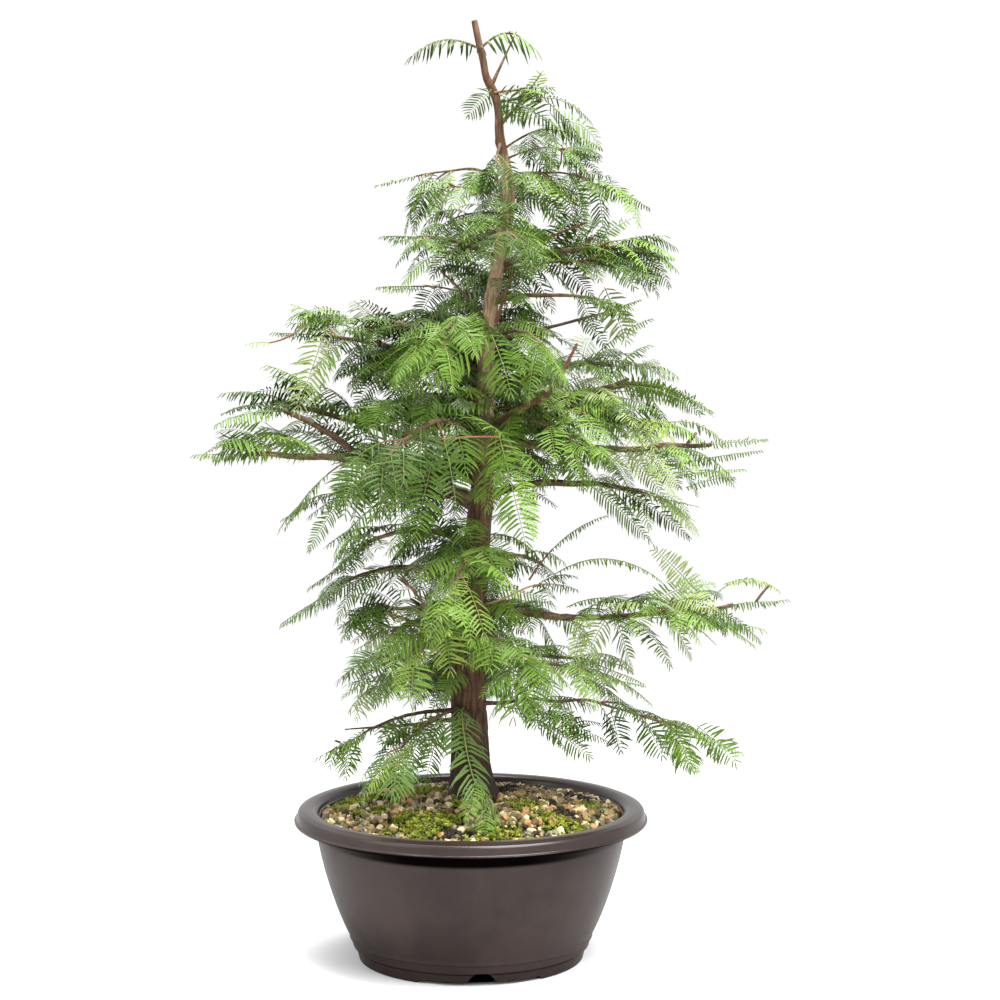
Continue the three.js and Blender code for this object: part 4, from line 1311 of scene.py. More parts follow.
def grow_front_frond(crop, bough, region, rng, look):
    """The great frond that hangs in front of the trunk, with side feathers near its end."""
    line = curve_between(FROND_LINE, 40)
    size = look.needle_length * bough.needle
    feather(crop, region, line[6:], size, GREEN_NAMES.index("cool"), rng, look, 0.0, 0.0)
    crop.paths["green"].append((line, np.linspace(2.0, 1.0, len(line))))
    for share, side in FROND_SIDES:
        k = int(share * len(line))
        ahead = unit(line[k + 1] - line[k])
        level, _ = sides_of(ahead, LEANING_UP)
        path = shoot_path(line[k], ahead * 0.8 + level * side * 0.6, 34.0, 0.2, rng)
        feather(crop, region, path, size * 0.55, GREEN_NAMES.index("bright"), rng, look)


def region_of(bough):
    """The part of the crown that a bough's needles are joined into."""
    if bough.height > CREST_FROM:
        return "crest"
    if bough.name.startswith("back"):
        return "back"
    if bough.height < LOWER_TO:
        return "lower"
    return bough.name.split("_")[0]


def roll_to_front(heading):
    """The roll that turns a feather's flat side to the front."""
    level = unit(np.cross(heading, NEARLY_UP))
    flat = np.cross(heading, np.array([0.0, 1.0, 0.0]))
    return math.atan2(float(flat @ np.cross(level, heading)), float(flat @ level))


def grow_singles(crop, rng, look):
    """The feathers and bare shoots that stand alone."""
    for start, (turn, rise), length, bend, needle, green, bare, roll in SINGLE_FEATHERS:
        heading = heading_at(math.radians(turn), math.radians(rise))
        path = shoot_path(np.array(start, float), heading, length, math.radians(bend), rng, wander=0.03)
        size, tint = look.needle_length * needle, GREEN_NAMES.index(green)
        roll = roll_to_front(heading) if roll == "front" else math.radians(roll)
        feather(crop, "single", path, size, tint, rng, look, roll, bare)
    for kind, start, end, bow, girth in BARE_SHOOTS:
        steps = np.linspace(0, 1, 12)[:, None]
        line = lerp(np.array(start, float), np.array(end, float), steps) + UP * bow * np.sin(steps * math.pi)
        crop.paths[kind].append((line, girth * np.linspace(1.0, 0.7, 12)))


def grow_crop(look):
    """All the foliage. Each bough has random draws of its own, so that they change one by one."""
    crop = Crop()
    for bough in BOUGHS:
        if bough.twig == "gold":
            shares = np.linspace(0, 0.8, 24)
            crop.paths["gold"].append((bough_line(bough, shares), bough_girth(bough, shares)))
    first_seed = look.seed * 1000
    for k, bough in enumerate(BOUGHS + BRANCHES):
        if not bough.leaf:
            continue
        grow = grow_front_frond if bough.name == "front_low" else grow_bough
        grow(crop, bough, region_of(bough), np.random.default_rng(first_seed + k), look)
    grow_singles(crop, np.random.default_rng(first_seed + 901), look)
    grow_sprouts(crop, np.random.default_rng(first_seed + 900), look)
    return crop


GROWN = {}


def crop_of(scene):
    """The crop, grown only once, for the twigs and the needles."""
    if "crop" not in GROWN:
        GROWN["crop"] = grow_crop(scene.redwood_foliage)
    return GROWN["crop"]


# A needle's outline: the place of each cross row, and its share of the full width.
BLADE_ROWS = ((0.2, 0.92), (0.74, 0.88))
# How deep its midrib is folded, as a share of its width. The length, in millimetres, of a needle of the usual
# width, and how much slimmer and wider than that needles can be.
KEEL = 0.22
USUAL_LENGTH = 14.0
WIDTH_LIMITS = (0.62, 1.35)


def needle_mesh(name, batches, finishes, width):
    """One joined mesh of pointed needles, each folded a little along its midrib."""
    place, out, blade, bend, long, tint = (np.concatenate(list(rows)) for rows in zip(*batches))
    face = unit(np.cross(blade, out))
    size = width * np.clip(long / USUAL_LENGTH, *WIDTH_LIMITS)

    def middle(t):
        return place + (out * t + bend * t * t) * long[:, None]

    rows = [middle(0.0)]
    for t, share in BLADE_ROWS:
        half = blade * (size * share / 2)[:, None]
        keel = face * (size * share * KEEL)[:, None]
        centre = middle(t)
        rows += [centre - half, centre - keel, centre + half]
    rows.append(middle(1.0))
    points = np.stack(rows, axis=1)
    first = (np.arange(len(place)) * len(rows))[:, None]
    # The points of a needle: its foot, three in each cross row, and its tip.
    (a, b), tip = (1, 4), 7
    tris = [(0, a, a + 1), (0, a + 1, a + 2), (b, tip, b + 1), (b + 1, tip, b + 2)]
    quads = [(a, b, b + 1, a + 1), (a + 1, b + 1, b + 2, a + 2)]
    faces = [np.concatenate([first + np.array(corners) for corners in kind]) for kind in (tris, quads)]
    slots = np.tile(tint, len(tris) + len(quads))
    return mesh_object(name, points.reshape(-1, 3), faces, finishes, slots, soft=False)


def path_mesh(name, paths):
    """Loose edges along the paths, with the girth at each point, in metres."""
    points = np.concatenate([p for p, _ in paths])
    girths = np.concatenate([g for _, g in paths]) * MM
    edges = []
    start = 0
    for path, _ in paths:
        steps = np.arange(start, start + len(path) - 1)
        edges.append(np.column_stack([steps, steps + 1]))
        start += len(path)
    mesh = bpy.data.meshes.new(name)
    edges = np.concatenate(edges)
    mesh.vertices.add(len(points))
    mesh.vertices.foreach_set("co", placed(points).astype(np.float32).ravel())
    mesh.edges.add(len(edges))
    mesh.edges.foreach_set("vertices", edges.astype(np.int32).ravel())
    mesh.update()
    made = linked(name, mesh)
    note(made, "girth", girths)
    return made


# ---------- wood ----------


def bark_tube(line, radii, sides, relief, seed, grain, stretch=5.0, swell=None):
    """A closed tube with stringy relief. Gives points, quad and triangle faces, and each point's crack.

    relief is the cracks' depth, grain their spacing, and stretch how much longer than wide the pattern is.
    """
    ahead = unit(np.gradient(line, axis=0))
    across = unit(np.cross(ahead[0], np.array([0.3, 0.95, 0.1])))
    frames = []
    for heading in ahead:
        across = unit(across - heading * float(across @ heading))
        frames.append(across)
    across = np.array(frames)
    over = np.cross(ahead, across)
    turn = np.linspace(0, math.tau, sides, endpoint=False)
    legs = way_along(line)
    around = np.cos(turn)[None, :, None] * across[:, None] + np.sin(turn)[None, :, None] * over[:, None]
    base = radii[:, None] * np.ones(sides)
    down = np.broadcast_to(legs[:, None], base.shape) / (grain * stretch)
    spots = np.stack([np.cos(turn)[None] * base / grain, np.sin(turn)[None] * base / grain, down], axis=-1)
    spots = spots.reshape(-1, 3)
    warp = [noise(spots * 0.4 + 7, seed + 5), noise(spots * 0.4 + 31, seed + 6), np.zeros(len(spots))]
    ridge = noise(spots + np.stack(warp, 1) * 0.7, seed)
    crack = 1 - smooth(0.04, 0.30, np.abs(ridge))
    fine = noise(spots * 2.7, seed + 1)
    depth = np.asarray(relief) * np.ones(len(line))
    shape = (-0.75 * crack + 0.22 * fine + 0.25 * noise(spots * 0.45, seed + 2)).reshape(base.shape)
    if swell is not None:
        base = base + swell(turn)
    radius = base + shape * depth[:, None]
    rings = line[:, None] + around * radius[..., None]
    points = np.concatenate([rings.reshape(-1, 3), line[:1], line[-1:] + ahead[-1:] * radii[-1] * 0.25])
    quads, tris = ring_faces(len(line), sides), end_faces(len(line), sides)
    return points, quads, tris, np.concatenate([crack, [0, 0]])


def join_tubes(name, tubes, finishes, peel):
    """Several bark tubes as one object, with crack and peel noted on it."""
    points, quads, tris, cracks = [], [], [], []
    start = 0
    for p, q, t, c in tubes:
        points.append(p)
        quads.append(q + start)
        tris.append(t + start)
        cracks.append(c)
        start += len(p)
    points = np.concatenate(points)
    made = mesh_object(name, points, [np.concatenate(quads), np.concatenate(tris)], finishes)
    note(made, "crack", np.concatenate(cracks))
    note(made, "peel", peel(points))
    return made


# The trunk's tube: how far it goes into the soil, its rings and sides, its cracks' grain and stretch, and
# their depth below the first height and above the second.
TRUNK_FOOT = 4
TRUNK_RINGS = 430
TRUNK_SIDES = 112
TRUNK_GRAIN = (4.2, 5.5)
TRUNK_RELIEF = (1.1, 0.28)
RELIEF_FADE = (160, 520)
# Swellings at the boughs' heights: their turn round the tube from the bough's own, and their height and
# width as shares of its girth.
SWELL_TURN = math.pi / 2
SWELL_HEIGHT = 0.22
SWELL_WIDTH = 0.75
# Knots: how far apart they are, and their height, as a share of the girth, below the first height and above
# the second.
KNOT_STEP = 22
KNOT_SHARES = (0.035, 0.11)
KNOTTY_FROM = (684, 702)


def trunk_tube():
    """The trunk's bark tube, with its root flare, swellings and knots."""
    heights = np.linspace(TRUNK[0, 0] - TRUNK_FOOT, TIP_HEIGHT, TRUNK_RINGS)
    line, girth = trunk_at(heights)
    line[:, 2] = heights
    flare = FLARE_WIDTH * np.exp(-np.maximum(heights - TRUNK[0, 0], 0) / FLARE_HEIGHT)

    def swell(turn):
        lobes = 1 + 0.45 * np.cos(ROOT_LOBES * turn + 0.6)
        out = flare[:, None] * lobes[None]
        for bough in BOUGHS + BRANCHES:
            gap = np.angle(np.exp(1j * (turn - math.radians(bough.turn) - SWELL_TURN)))
            near = (gap[None] * girth[:, None] / 2) ** 2 + (heights[:, None] - bough.height - 1) ** 2
            out = out + SWELL_HEIGHT * bough.girth * np.exp(-near / (bough.girth * SWELL_WIDTH) ** 2)
        round_rows = (np.cos(turn)[None] * 1.3, np.sin(turn)[None] * 1.3, heights[:, None] / KNOT_STEP)
        knots = noise(np.stack(np.broadcast_arrays(*round_rows), -1).reshape(-1, 3), 17)
        lumps = girth * lerp(*KNOT_SHARES, smooth(*KNOTTY_FROM, heights))
        return out + lumps[:, None] * knots.reshape(len(heights), len(turn))

    relief = lerp(*TRUNK_RELIEF, smooth(*RELIEF_FADE, heights))
    return bark_tube(line, girth / 2, TRUNK_SIDES, relief, 21, *TRUNK_GRAIN, swell=swell)


def limb_tube(bough, end):
    """A bough's bark tube up to that share of its way, with a collar and knuckles."""
    count = max(12, int(bough.reach * end / 1.8))
    shares = np.linspace(0.0, end, count)
    line = bough_line(bough, shares)
    radii = bough_girth(bough, shares) / 2
    trunk_radius = trunk_at(bough.height)[1][0] / 2
    radii = radii * (1 + 0.45 * np.exp(-np.maximum(shares * bough.reach - trunk_radius, 0) / 5.0))
    spots = np.column_stack([shares * bough.reach / 9, np.zeros(count), np.full(count, bough.height)])
    radii = radii * (1 + 0.22 * np.abs(noise(spots, 8)))
    sides = int(np.clip(bough.girth * 2.2, 8, 22))
    relief = np.clip(radii * 0.16, 0.12, 0.7)
    return bark_tube(line, radii, sides, relief, int(bough.height), 1.7)


def stub_tube(bough, share, turn, rise, length, girth, seed):
    """The bark tube of a cut stub that stands on a bough."""
    start = bough_line(bough, np.array([share]))[0]
    heading = heading_at(math.radians(turn), math.radians(rise))
    steps = np.linspace(0, 1, max(8, int(length / 1.6)))
    bow = np.sin(steps * np.pi) * length * 0.05
    line = start + heading * (steps * length)[:, None] + UP * bow[:, None]
    radii = np.linspace(girth * 0.5, girth * 0.4, len(steps))
    return bark_tube(line, radii, 9, radii * 0.14, seed, 1.5, 4.0)


# ---------- the pot ----------

# The points in the arc of a rounded corner, and a cutting bar's sides.
ARC_POINTS = 5
BAR_SIDES = 40


def wall_radius(height):
    """The wall's outer radius, which swells between the waist and the shoulder."""
    t = np.clip((height - WAIST_HEIGHT) / (RIM_HEIGHT - LIP_DEPTH - WAIST_HEIGHT), 0, 1)
    return lerp(WAIST_RADIUS, SHOULDER_RADIUS, t) + BELLY * np.sin(np.pi * t) ** 0.6


def rounded(corners):
    """A profile of (radius, height, rounding) corners with each corner turned into an arc."""
    outline = []
    for k, (r, z, fillet) in enumerate(corners):
        here = np.array([r, z], float)
        if fillet == 0 or k in (0, len(corners) - 1):
            outline.append(here)
            continue
        before = np.array(corners[k - 1][:2], float) - here
        after = np.array(corners[k + 1][:2], float) - here
        reach = min(fillet, 0.48 * np.linalg.norm(before), 0.48 * np.linalg.norm(after))
        a, b = here + unit(before) * reach, here + unit(after) * reach
        for t in np.linspace(0, 1, ARC_POINTS):
            outline.append((1 - t) ** 2 * a + 2 * t * (1 - t) * here + t * t * b)
    return np.array(outline)


def pot_corners():
    """The corners of the pot's profile, from the middle of its underside to the middle of its floor."""
    rim, top = RIM_RADIUS, RIM_HEIGHT - 3.0
    under = RIM_HEIGHT - LIP_DEPTH
    underside = [
        (0, FLOOR_UNDERSIDE, 0),
        (RIB_RADIUS - RIB_WIDTH, FLOOR_UNDERSIDE, 1.0),
        (RIB_RADIUS - RIB_WIDTH, RIB_FOOT, 0.6),
        (RIB_RADIUS, RIB_FOOT, 0.6),
        (RIB_RADIUS, FLOOR_UNDERSIDE, 1.0),
        (FOOT_RADIUS - FOOT_WIDTH, FLOOR_UNDERSIDE, 1.5),
        (FOOT_RADIUS - FOOT_WIDTH, 0, 0.8),
    ]
    foot = [
        (FOOT_RADIUS, 0, 0.9),
        (FOOT_RADIUS + 2, FOOT_HEIGHT - 0.9, 0.6),
        (FOOT_RADIUS + 1.2, FOOT_HEIGHT - 0.4, 0.2),
        (FOOT_RADIUS + 1.4, FOOT_HEIGHT + 0.5, 0.2),
        (FOOT_RADIUS + 5.2, FOOT_HEIGHT + 1.4, 1.0),
        (FOOT_RADIUS + 6.0, WAIST_HEIGHT - 4.0, 0.5),
        (WAIST_RADIUS + 0.6, WAIST_HEIGHT - 2.9, 0.8),
        (WAIST_RADIUS + 0.8, WAIST_HEIGHT - 0.5, 0.9),
    ]
    wall = [(wall_radius(z), z, 0) for z in np.linspace(WAIST_HEIGHT + 1.5, under - 2, 22)]
    bead = [(SHOULDER_RADIUS - 0.2, under + 9, 1.0), (SHOULDER_RADIUS + 2.5, under + 9.5, 2.0)]
    lip = [
        (rim - 5.5, under + 9, 2.5),
        (rim - 3.2, under + 2.0, 0.8),
        (rim - 3.0, under + 0.2, 0.4),
        (rim - 0.3, under, 0.35),
        (rim, under + 1.9, 0.5),
        (rim - 1.7, under + 2.7, 0.5),
        (rim - 3.0, under + 8.4, 1.2),
        (rim - 4.2, top - 1.9, 0.9),
        (rim - 5.6, top - 1.5, 0.4),
        (rim - 9.0, top - 0.1, 2.5),
        (rim - 15.5, top, 2.5),
        (rim - 18.6, top - 1.6, 0.8),
        (rim - 20.4, top - 3.4, 0.5),
        (rim - 21.2, top - 6.4, 0.5),
        (rim - 22.4, top - 7.2, 0.5),
        (rim - 23.0, top - 12.0, 3.0),
        (wall_radius(under - 8) - WALL, under - 8, 2.0),
    ]
    inside = [(wall_radius(z) - WALL, z, 0) for z in np.linspace(under - 12, 30, 12)]
    floor = [(FOOT_RADIUS - 1, FLOOR_TOP, 3.0), (0, FLOOR_TOP, 0)]
    return underside + foot + wall + bead + lip + inside + floor


def lathe(outline, turns):
    """Points and faces of an outline, from axis to axis, turned round it."""
    ring = outline[1:-1]
    turn = np.linspace(0, math.tau, turns, endpoint=False)
    out, height = ring[:, None, 0], ring[:, None, 1]
    rows = np.stack([out * np.cos(turn), out * np.sin(turn), height * np.ones(turns)], -1)
    points = np.concatenate([rows.reshape(-1, 3), [[0, 0, outline[0, 1]], [0, 0, outline[-1, 1]]]])
    return points, ring_faces(len(ring), turns), end_faces(len(ring), turns)


def round_bar(name, radius, length, matrix):
    """A round bar to cut with."""
    mesh = bpy.data.meshes.new(name)
    shape = bmesh.new()
    sizes = {"segments": BAR_SIDES, "radius1": radius, "radius2": radius, "depth": length}
    bmesh.ops.create_cone(shape, cap_ends=True, **sizes)
    bmesh.ops.transform(shape, matrix=matrix, verts=shape.verts)
    bmesh.ops.scale(shape, vec=(MM, MM, MM), verts=shape.verts)
    bmesh.ops.translate(shape, vec=Vector(AXIS), verts=shape.verts)
    shape.to_mesh(mesh)
    shape.free()
    return linked(name, mesh)


def cut_away(obj, cutters):
    """Cuts the bars out of the object, and throws the bars away."""
    for cutter in cutters:
        modifier = obj.modifiers.new("cut", "BOOLEAN")
        modifier.operation = "DIFFERENCE"
        modifier.solver = "EXACT"
        modifier.object = cutter
    mesh = evaluated_mesh(obj)
    old = obj.data
    obj.modifiers.clear()
    obj.data = mesh
    bpy.data.meshes.remove(old)
    for cutter in cutters:
        discard(cutter)


# ---------- the soil ----------


def soil_wall(height):
    """The inside of the pot's wall, where the soil ends."""
    return wall_radius(height) - WALL - SOIL_GAP


def soil_height(right, back):
    """The mound's height over a place, falling from the trunk to the wall."""
    out = np.hypot(right, back)
    t = np.clip((out - SOIL_FLAT) / (soil_wall(SOIL_EDGE) - SOIL_FLAT), 0, 1)
    return lerp(SOIL_TOP - 1.0, SOIL_EDGE, t**1.5)


def patch_cover(right, back, patches, seed):
    """How far each place is inside one of the round, ragged patches."""
    ragged = noise(flat_rows(right, back, 11), seed) + 0.6 * noise(flat_rows(right, back, 4.5), seed + 1)
    cover = np.zeros_like(right)
    for x, y, size in patches:
        inside = 1 - np.hypot(right - x, back - y) / size
        cover = np.maximum(cover, smooth(-0.05, 0.45, inside + 0.38 * ragged))
    return cover


# ---------- settings ----------


def size_property(name, description, default, least):
    """A length in metres that a user may change."""
    return FloatProperty(name=name, description=description, default=default, unit="LENGTH", min=least)


def millimetres(name, description, default, least):
    """A length in millimetres that a user may change."""
    return FloatProperty(name=name, description=f"{description}, in millimetres", default=default, min=least)


def colour_property(name, description, default):
    """A colour that a user may change."""
    limits = {"min": 0, "max": 1}
    return FloatVectorProperty(name=name, description=description, subtype="COLOR", default=default, **limits)


def share_property(name, description, default):
    """A share, from 0 to 1, that a user may change."""
    return FloatProperty(name=name, description=description, default=default, min=0, max=1)


class RedwoodPot(bpy.types.PropertyGroup):
    """The pot's plastic."""

    plastic: colour_property("Plastic", "The plastic's colour", (0.0162, 0.0092, 0.0078))
    scuffed: colour_property("Scuffed", "Its colour where it is dusty", (0.0290, 0.0186, 0.0164))
    turns: IntProperty(name="Turns", description="Faces round the pot", default=160, min=24, max=400)


class RedwoodSoil(bpy.types.PropertyGroup):
    """The grit and the moss."""

    spacing: size_property("Spacing", "Least distance between stones", 0.0040, 0.001)
    stone: size_property("Stone", "A usual stone's size", 0.0045, 0.001)
    tuft_spacing: size_property("Tuft spacing", "Least distance between moss tufts", 0.0021, 0.0005)
    tuft: size_property("Tuft", "A usual moss tuft's size", 0.0042, 0.001)
    seed: IntProperty(name="Seed", description="Another seed strews them another way", default=4, min=0)


class RedwoodBark(bpy.types.PropertyGroup):
    """The bark's colours."""

    old: colour_property("Old bark", "Its colour low on the trunk", (0.135, 0.068, 0.038))
    peeled: colour_property("Peeled bark", "Its colour where it peels", (0.62, 0.44, 0.27))
    limb: colour_property("Limb bark", "The boughs' colour", (0.130, 0.078, 0.046))


class RedwoodFoliage(bpy.types.PropertyGroup):
    """The rule that the sprays grow by."""

    seed: IntProperty(name="Seed", description="Another seed grows another crown", default=7, min=0)
    needle_length: millimetres("Needle length", "A usual needle's length", 14.0, 2)
    needle_width: millimetres("Needle width", "A usual needle's width", 1.95, 0.3)
    needle_step: millimetres("Needle step", "Between pairs of needles", 2.85, 1)
    feather_step: millimetres("Feather step", "Between feathers on a twig", 11.0, 3)
    shoot_step: millimetres("Shoot step", "Between shoots on a bough", 12.0, 4)
    compound_from: millimetres("Compound from", "The length past which shoots may branch", 46.0, 5)
    compound_share: share_property("Compound share", "How many of those shoots branch", 0.16)
    bare_share: share_property("Bare share", "How many feathers have a bare brown foot", 0.22)
    sprout_step: millimetres("Sprout step", "Between sprouts up the trunk", 3.8, 1)


class RedwoodStage(bpy.types.PropertyGroup):
    """Where the camera stands, and the light."""

    distance: size_property("Distance", "In front of the pot", 1.617, 0.2)
    height: size_property("Height", "Above the table", 0.45, 0.0)
    aside: FloatProperty(name="Aside", description="To the right of the pot", default=0.025, unit="LENGTH")
    pitch: FloatProperty(name="Pitch", description="Downwards", default=math.radians(1.97), subtype="ANGLE")
    lens: FloatProperty(name="Lens", description="Focal length, in millimetres", default=67.6, min=10)
    key: FloatProperty(name="Key light", description="In watts", default=135.0, unit="POWER", min=0)
    fill: FloatProperty(name="Fill light", description="In watts", default=12.0, unit="POWER", min=0)
    top: FloatProperty(name="Top light", description="In watts", default=130.0, unit="POWER", min=0)
    sky: FloatProperty(name="Surrounding light", description="Strength", default=1.03, min=0)


# Half the floor's side, and the lamps' places from the plant's middle and sides, in metres.
FLOOR_HALF = 1.5
LAMPS = {
    "key": ((0.9, -1.05, 2.05), 1.8),
    "fill": ((-1.5, -1.1, 1.1), 1.4),
    "top": ((0.1, 0.1, 2.3), 2.0),
}


# ---------- operators ----------

# Edges of the pot that turn by more than this look sharp.
SHARP_FROM = math.radians(38)
# The mound's skin: its rings, its sides, and how far the rings below its edge stand.
MOUND_RINGS = 74
MOUND_TURNS = 220
MOUND_DEPTHS = (112.0, 96.0, 80.0, 64.0, 48.0, 32.0, 22.0, FLOOR_TOP + 0.5)
# How round each stone is, and how many leaves each tuft has.
STONE_ROUNDNESS = (0.75, 0.5, 0.35, 0.85, 0.25, 0.6, 0.4)
TUFTS = 4
TUFT_LEAVES = 9
# Light and dark colours of the earth, the stones, the moss, and the twigs and stalks, with a tube's sides.
EARTH = ((0.024, 0.017, 0.008), (0.006, 0.0045, 0.002))
STONE_TONES = {
    "tan_grit": ((0.46, 0.34, 0.170), (0.20, 0.140, 0.062)),
    "grey_grit": ((0.31, 0.28, 0.195), (0.12, 0.105, 0.066)),
    "orange_grit": ((0.50, 0.30, 0.125), (0.26, 0.135, 0.050)),
    "cream_grit": ((0.78, 0.64, 0.40), (0.42, 0.32, 0.18)),
    "brown_grit": ((0.16, 0.105, 0.046), (0.055, 0.036, 0.016)),
    "olive_grit": ((0.20, 0.19, 0.075), (0.075, 0.073, 0.028)),
    "dark_crumb": ((0.034, 0.023, 0.011), (0.010, 0.007, 0.0035)),
}
MOSS_TONES = {
    "moss_yellow": ((0.46, 0.47, 0.060), (0.24, 0.27, 0.032)),
    "moss_green": ((0.22, 0.27, 0.036), (0.090, 0.125, 0.018)),
    "moss_dark": ((0.060, 0.080, 0.016), (0.020, 0.028, 0.006)),
}
PATH_KINDS = {
    "brown": ("brown_twigs", ((0.24, 0.10, 0.055), (0.12, 0.05, 0.03)), 5),
    "red": ("red_shoots", ((0.52, 0.20, 0.11), (0.34, 0.11, 0.06)), 5),
    "green": ("feather_stalks", ((0.19, 0.25, 0.050), (0.115, 0.165, 0.028)), 3),
    "stub": ("cut_shoots", ((0.20, 0.085, 0.045), (0.085, 0.036, 0.020)), 9),
    "gold": ("gold_twigs", ((0.58, 0.38, 0.15), (0.34, 0.18, 0.06)), 5),
}
# The bark's colours that aren't settings: in the trunk's cracks, and peeled and in cracks on the limbs.
TRUNK_CRACKS = (0.034, 0.019, 0.012)
LIMB_PEELED = (0.24, 0.165, 0.092)
LIMB_CRACKS = (0.055, 0.032, 0.020)


class REDWOOD_OT_stage(bpy.types.Operator):
    """Sets out the floor, the lights and the camera"""

    bl_idname = "redwood.stage"
    bl_label = "Stage"

    def execute(self, context):
        look = context.scene.redwood_stage
        middle = Vector((AXIS[0], AXIS[1], (CAD_HIGH.z + CAD_LOW.z) / 2))
        camera_data = bpy.data.cameras.new("camera")
        camera_data.lens = look.lens
        camera_data.sensor_width = 36.0
        camera = linked("camera", camera_data)
        camera.location = (AXIS[0] + look.aside, AXIS[1] - look.distance, look.height)
        camera.rotation_euler = Euler((math.pi / 2 - look.pitch, 0, 0))
        context.scene.camera = camera

        corners = np.array([(-1, -1, 0), (1, -1, 0), (1, 1, 0), (-1, 1, 0)]) * FLOOR_HALF / MM
        floor = mesh_object("floor", corners, [np.array([(0, 1, 2, 3)])], [floor_finish()], soft=False)

        world = bpy.data.worlds.new("white_room")
        world.use_nodes = True
        world.node_tree.nodes["Background"].inputs["Color"].default_value = (1, 1, 1, 1)
        world.node_tree.nodes["Background"].inputs["Strength"].default_value = look.sky
        context.scene.world = world
        context.scene.view_settings.view_transform = "Standard"

        for name, (place, size) in LAMPS.items():
            lamp_data = bpy.data.lights.new(name, "AREA")
            lamp_data.shape = "SQUARE"
            lamp_data.size = size
            lamp_data.energy = getattr(look, name)
            lamp = linked(name, lamp_data)
            lamp.location = middle + Vector(place)
            lamp.rotation_euler = (middle - lamp.location).to_track_quat("-Z", "Y").to_euler()
        return {"FINISHED"}


class REDWOOD_OT_pot(bpy.types.Operator):
    """Turns the pot, with its rolled lip, bead, foot, arches and drain holes"""

    bl_idname = "redwood.pot"
    bl_label = "Pot"

    def execute(self, context):
        look = context.scene.redwood_pot
        finish = plastic_finish(look)
        points, quads, tris = lathe(rounded(pot_corners()), look.turns)
        # The foot rises into low arches between its feet.
        turn = np.degrees(np.arctan2(points[:, 1], points[:, 0]))
        out = np.hypot(points[:, 0], points[:, 1])
        low = (points[:, 2] < FOOT_HEIGHT - 2) & (out > FOOT_RADIUS - FOOT_WIDTH - 1)
        for k in range(ARCHES):
            gap = np.abs((turn - FIRST_ARCH - k * 360 / ARCHES + 180) % 360 - 180)
            lift = ARCH_HEIGHT * (1 - smooth(ARCH_SPAN / 2 - 2.2, ARCH_SPAN / 2 + 0.6, gap))
            points[:, 2] += np.where(low, lift * (1 - points[:, 2] / (FOOT_HEIGHT - 1)), 0)
        upper = smooth(WAIST_HEIGHT, RIM_HEIGHT - LIP_DEPTH, points[:, 2])
        points[:, 2] += RIM_DIP * points[:, 1] / RIM_RADIUS * upper
        pot = mesh_object("pot_shell", points, [quads, tris], [finish])
        cutters = []
        for k in range(ARCHES):
            facing = math.radians(FIRST_ARCH + k * 360 / ARCHES)
            lie = Matrix.Rotation(facing, 4, "Z") @ Matrix.Translation((FOOT_RADIUS, 0, -1.2))
            lie = lie @ Matrix.Rotation(math.pi / 2, 4, "Y")
            cutters.append(round_bar("notch", NOTCH_RADIUS, FOOT_WIDTH * 3, lie))
        for k in range(DRAINS):
            facing = math.radians(FIRST_DRAIN + k * 360 / DRAINS)
            stand = Matrix.Rotation(facing, 4, "Z") @ Matrix.Translation((DRAIN_CIRCLE, 0, FLOOR_TOP - 1.5))
            cutters.append(round_bar("drain", DRAIN_RADIUS, 12, stand))
        cut_away(pot, cutters)
        pot.data.polygons.foreach_set("use_smooth", np.ones(len(pot.data.polygons), bool))
        pot.data.set_sharp_from_angle(angle=SHARP_FROM)
        belongs(pot, "pot_plastic", "pot")
        return {"FINISHED"}


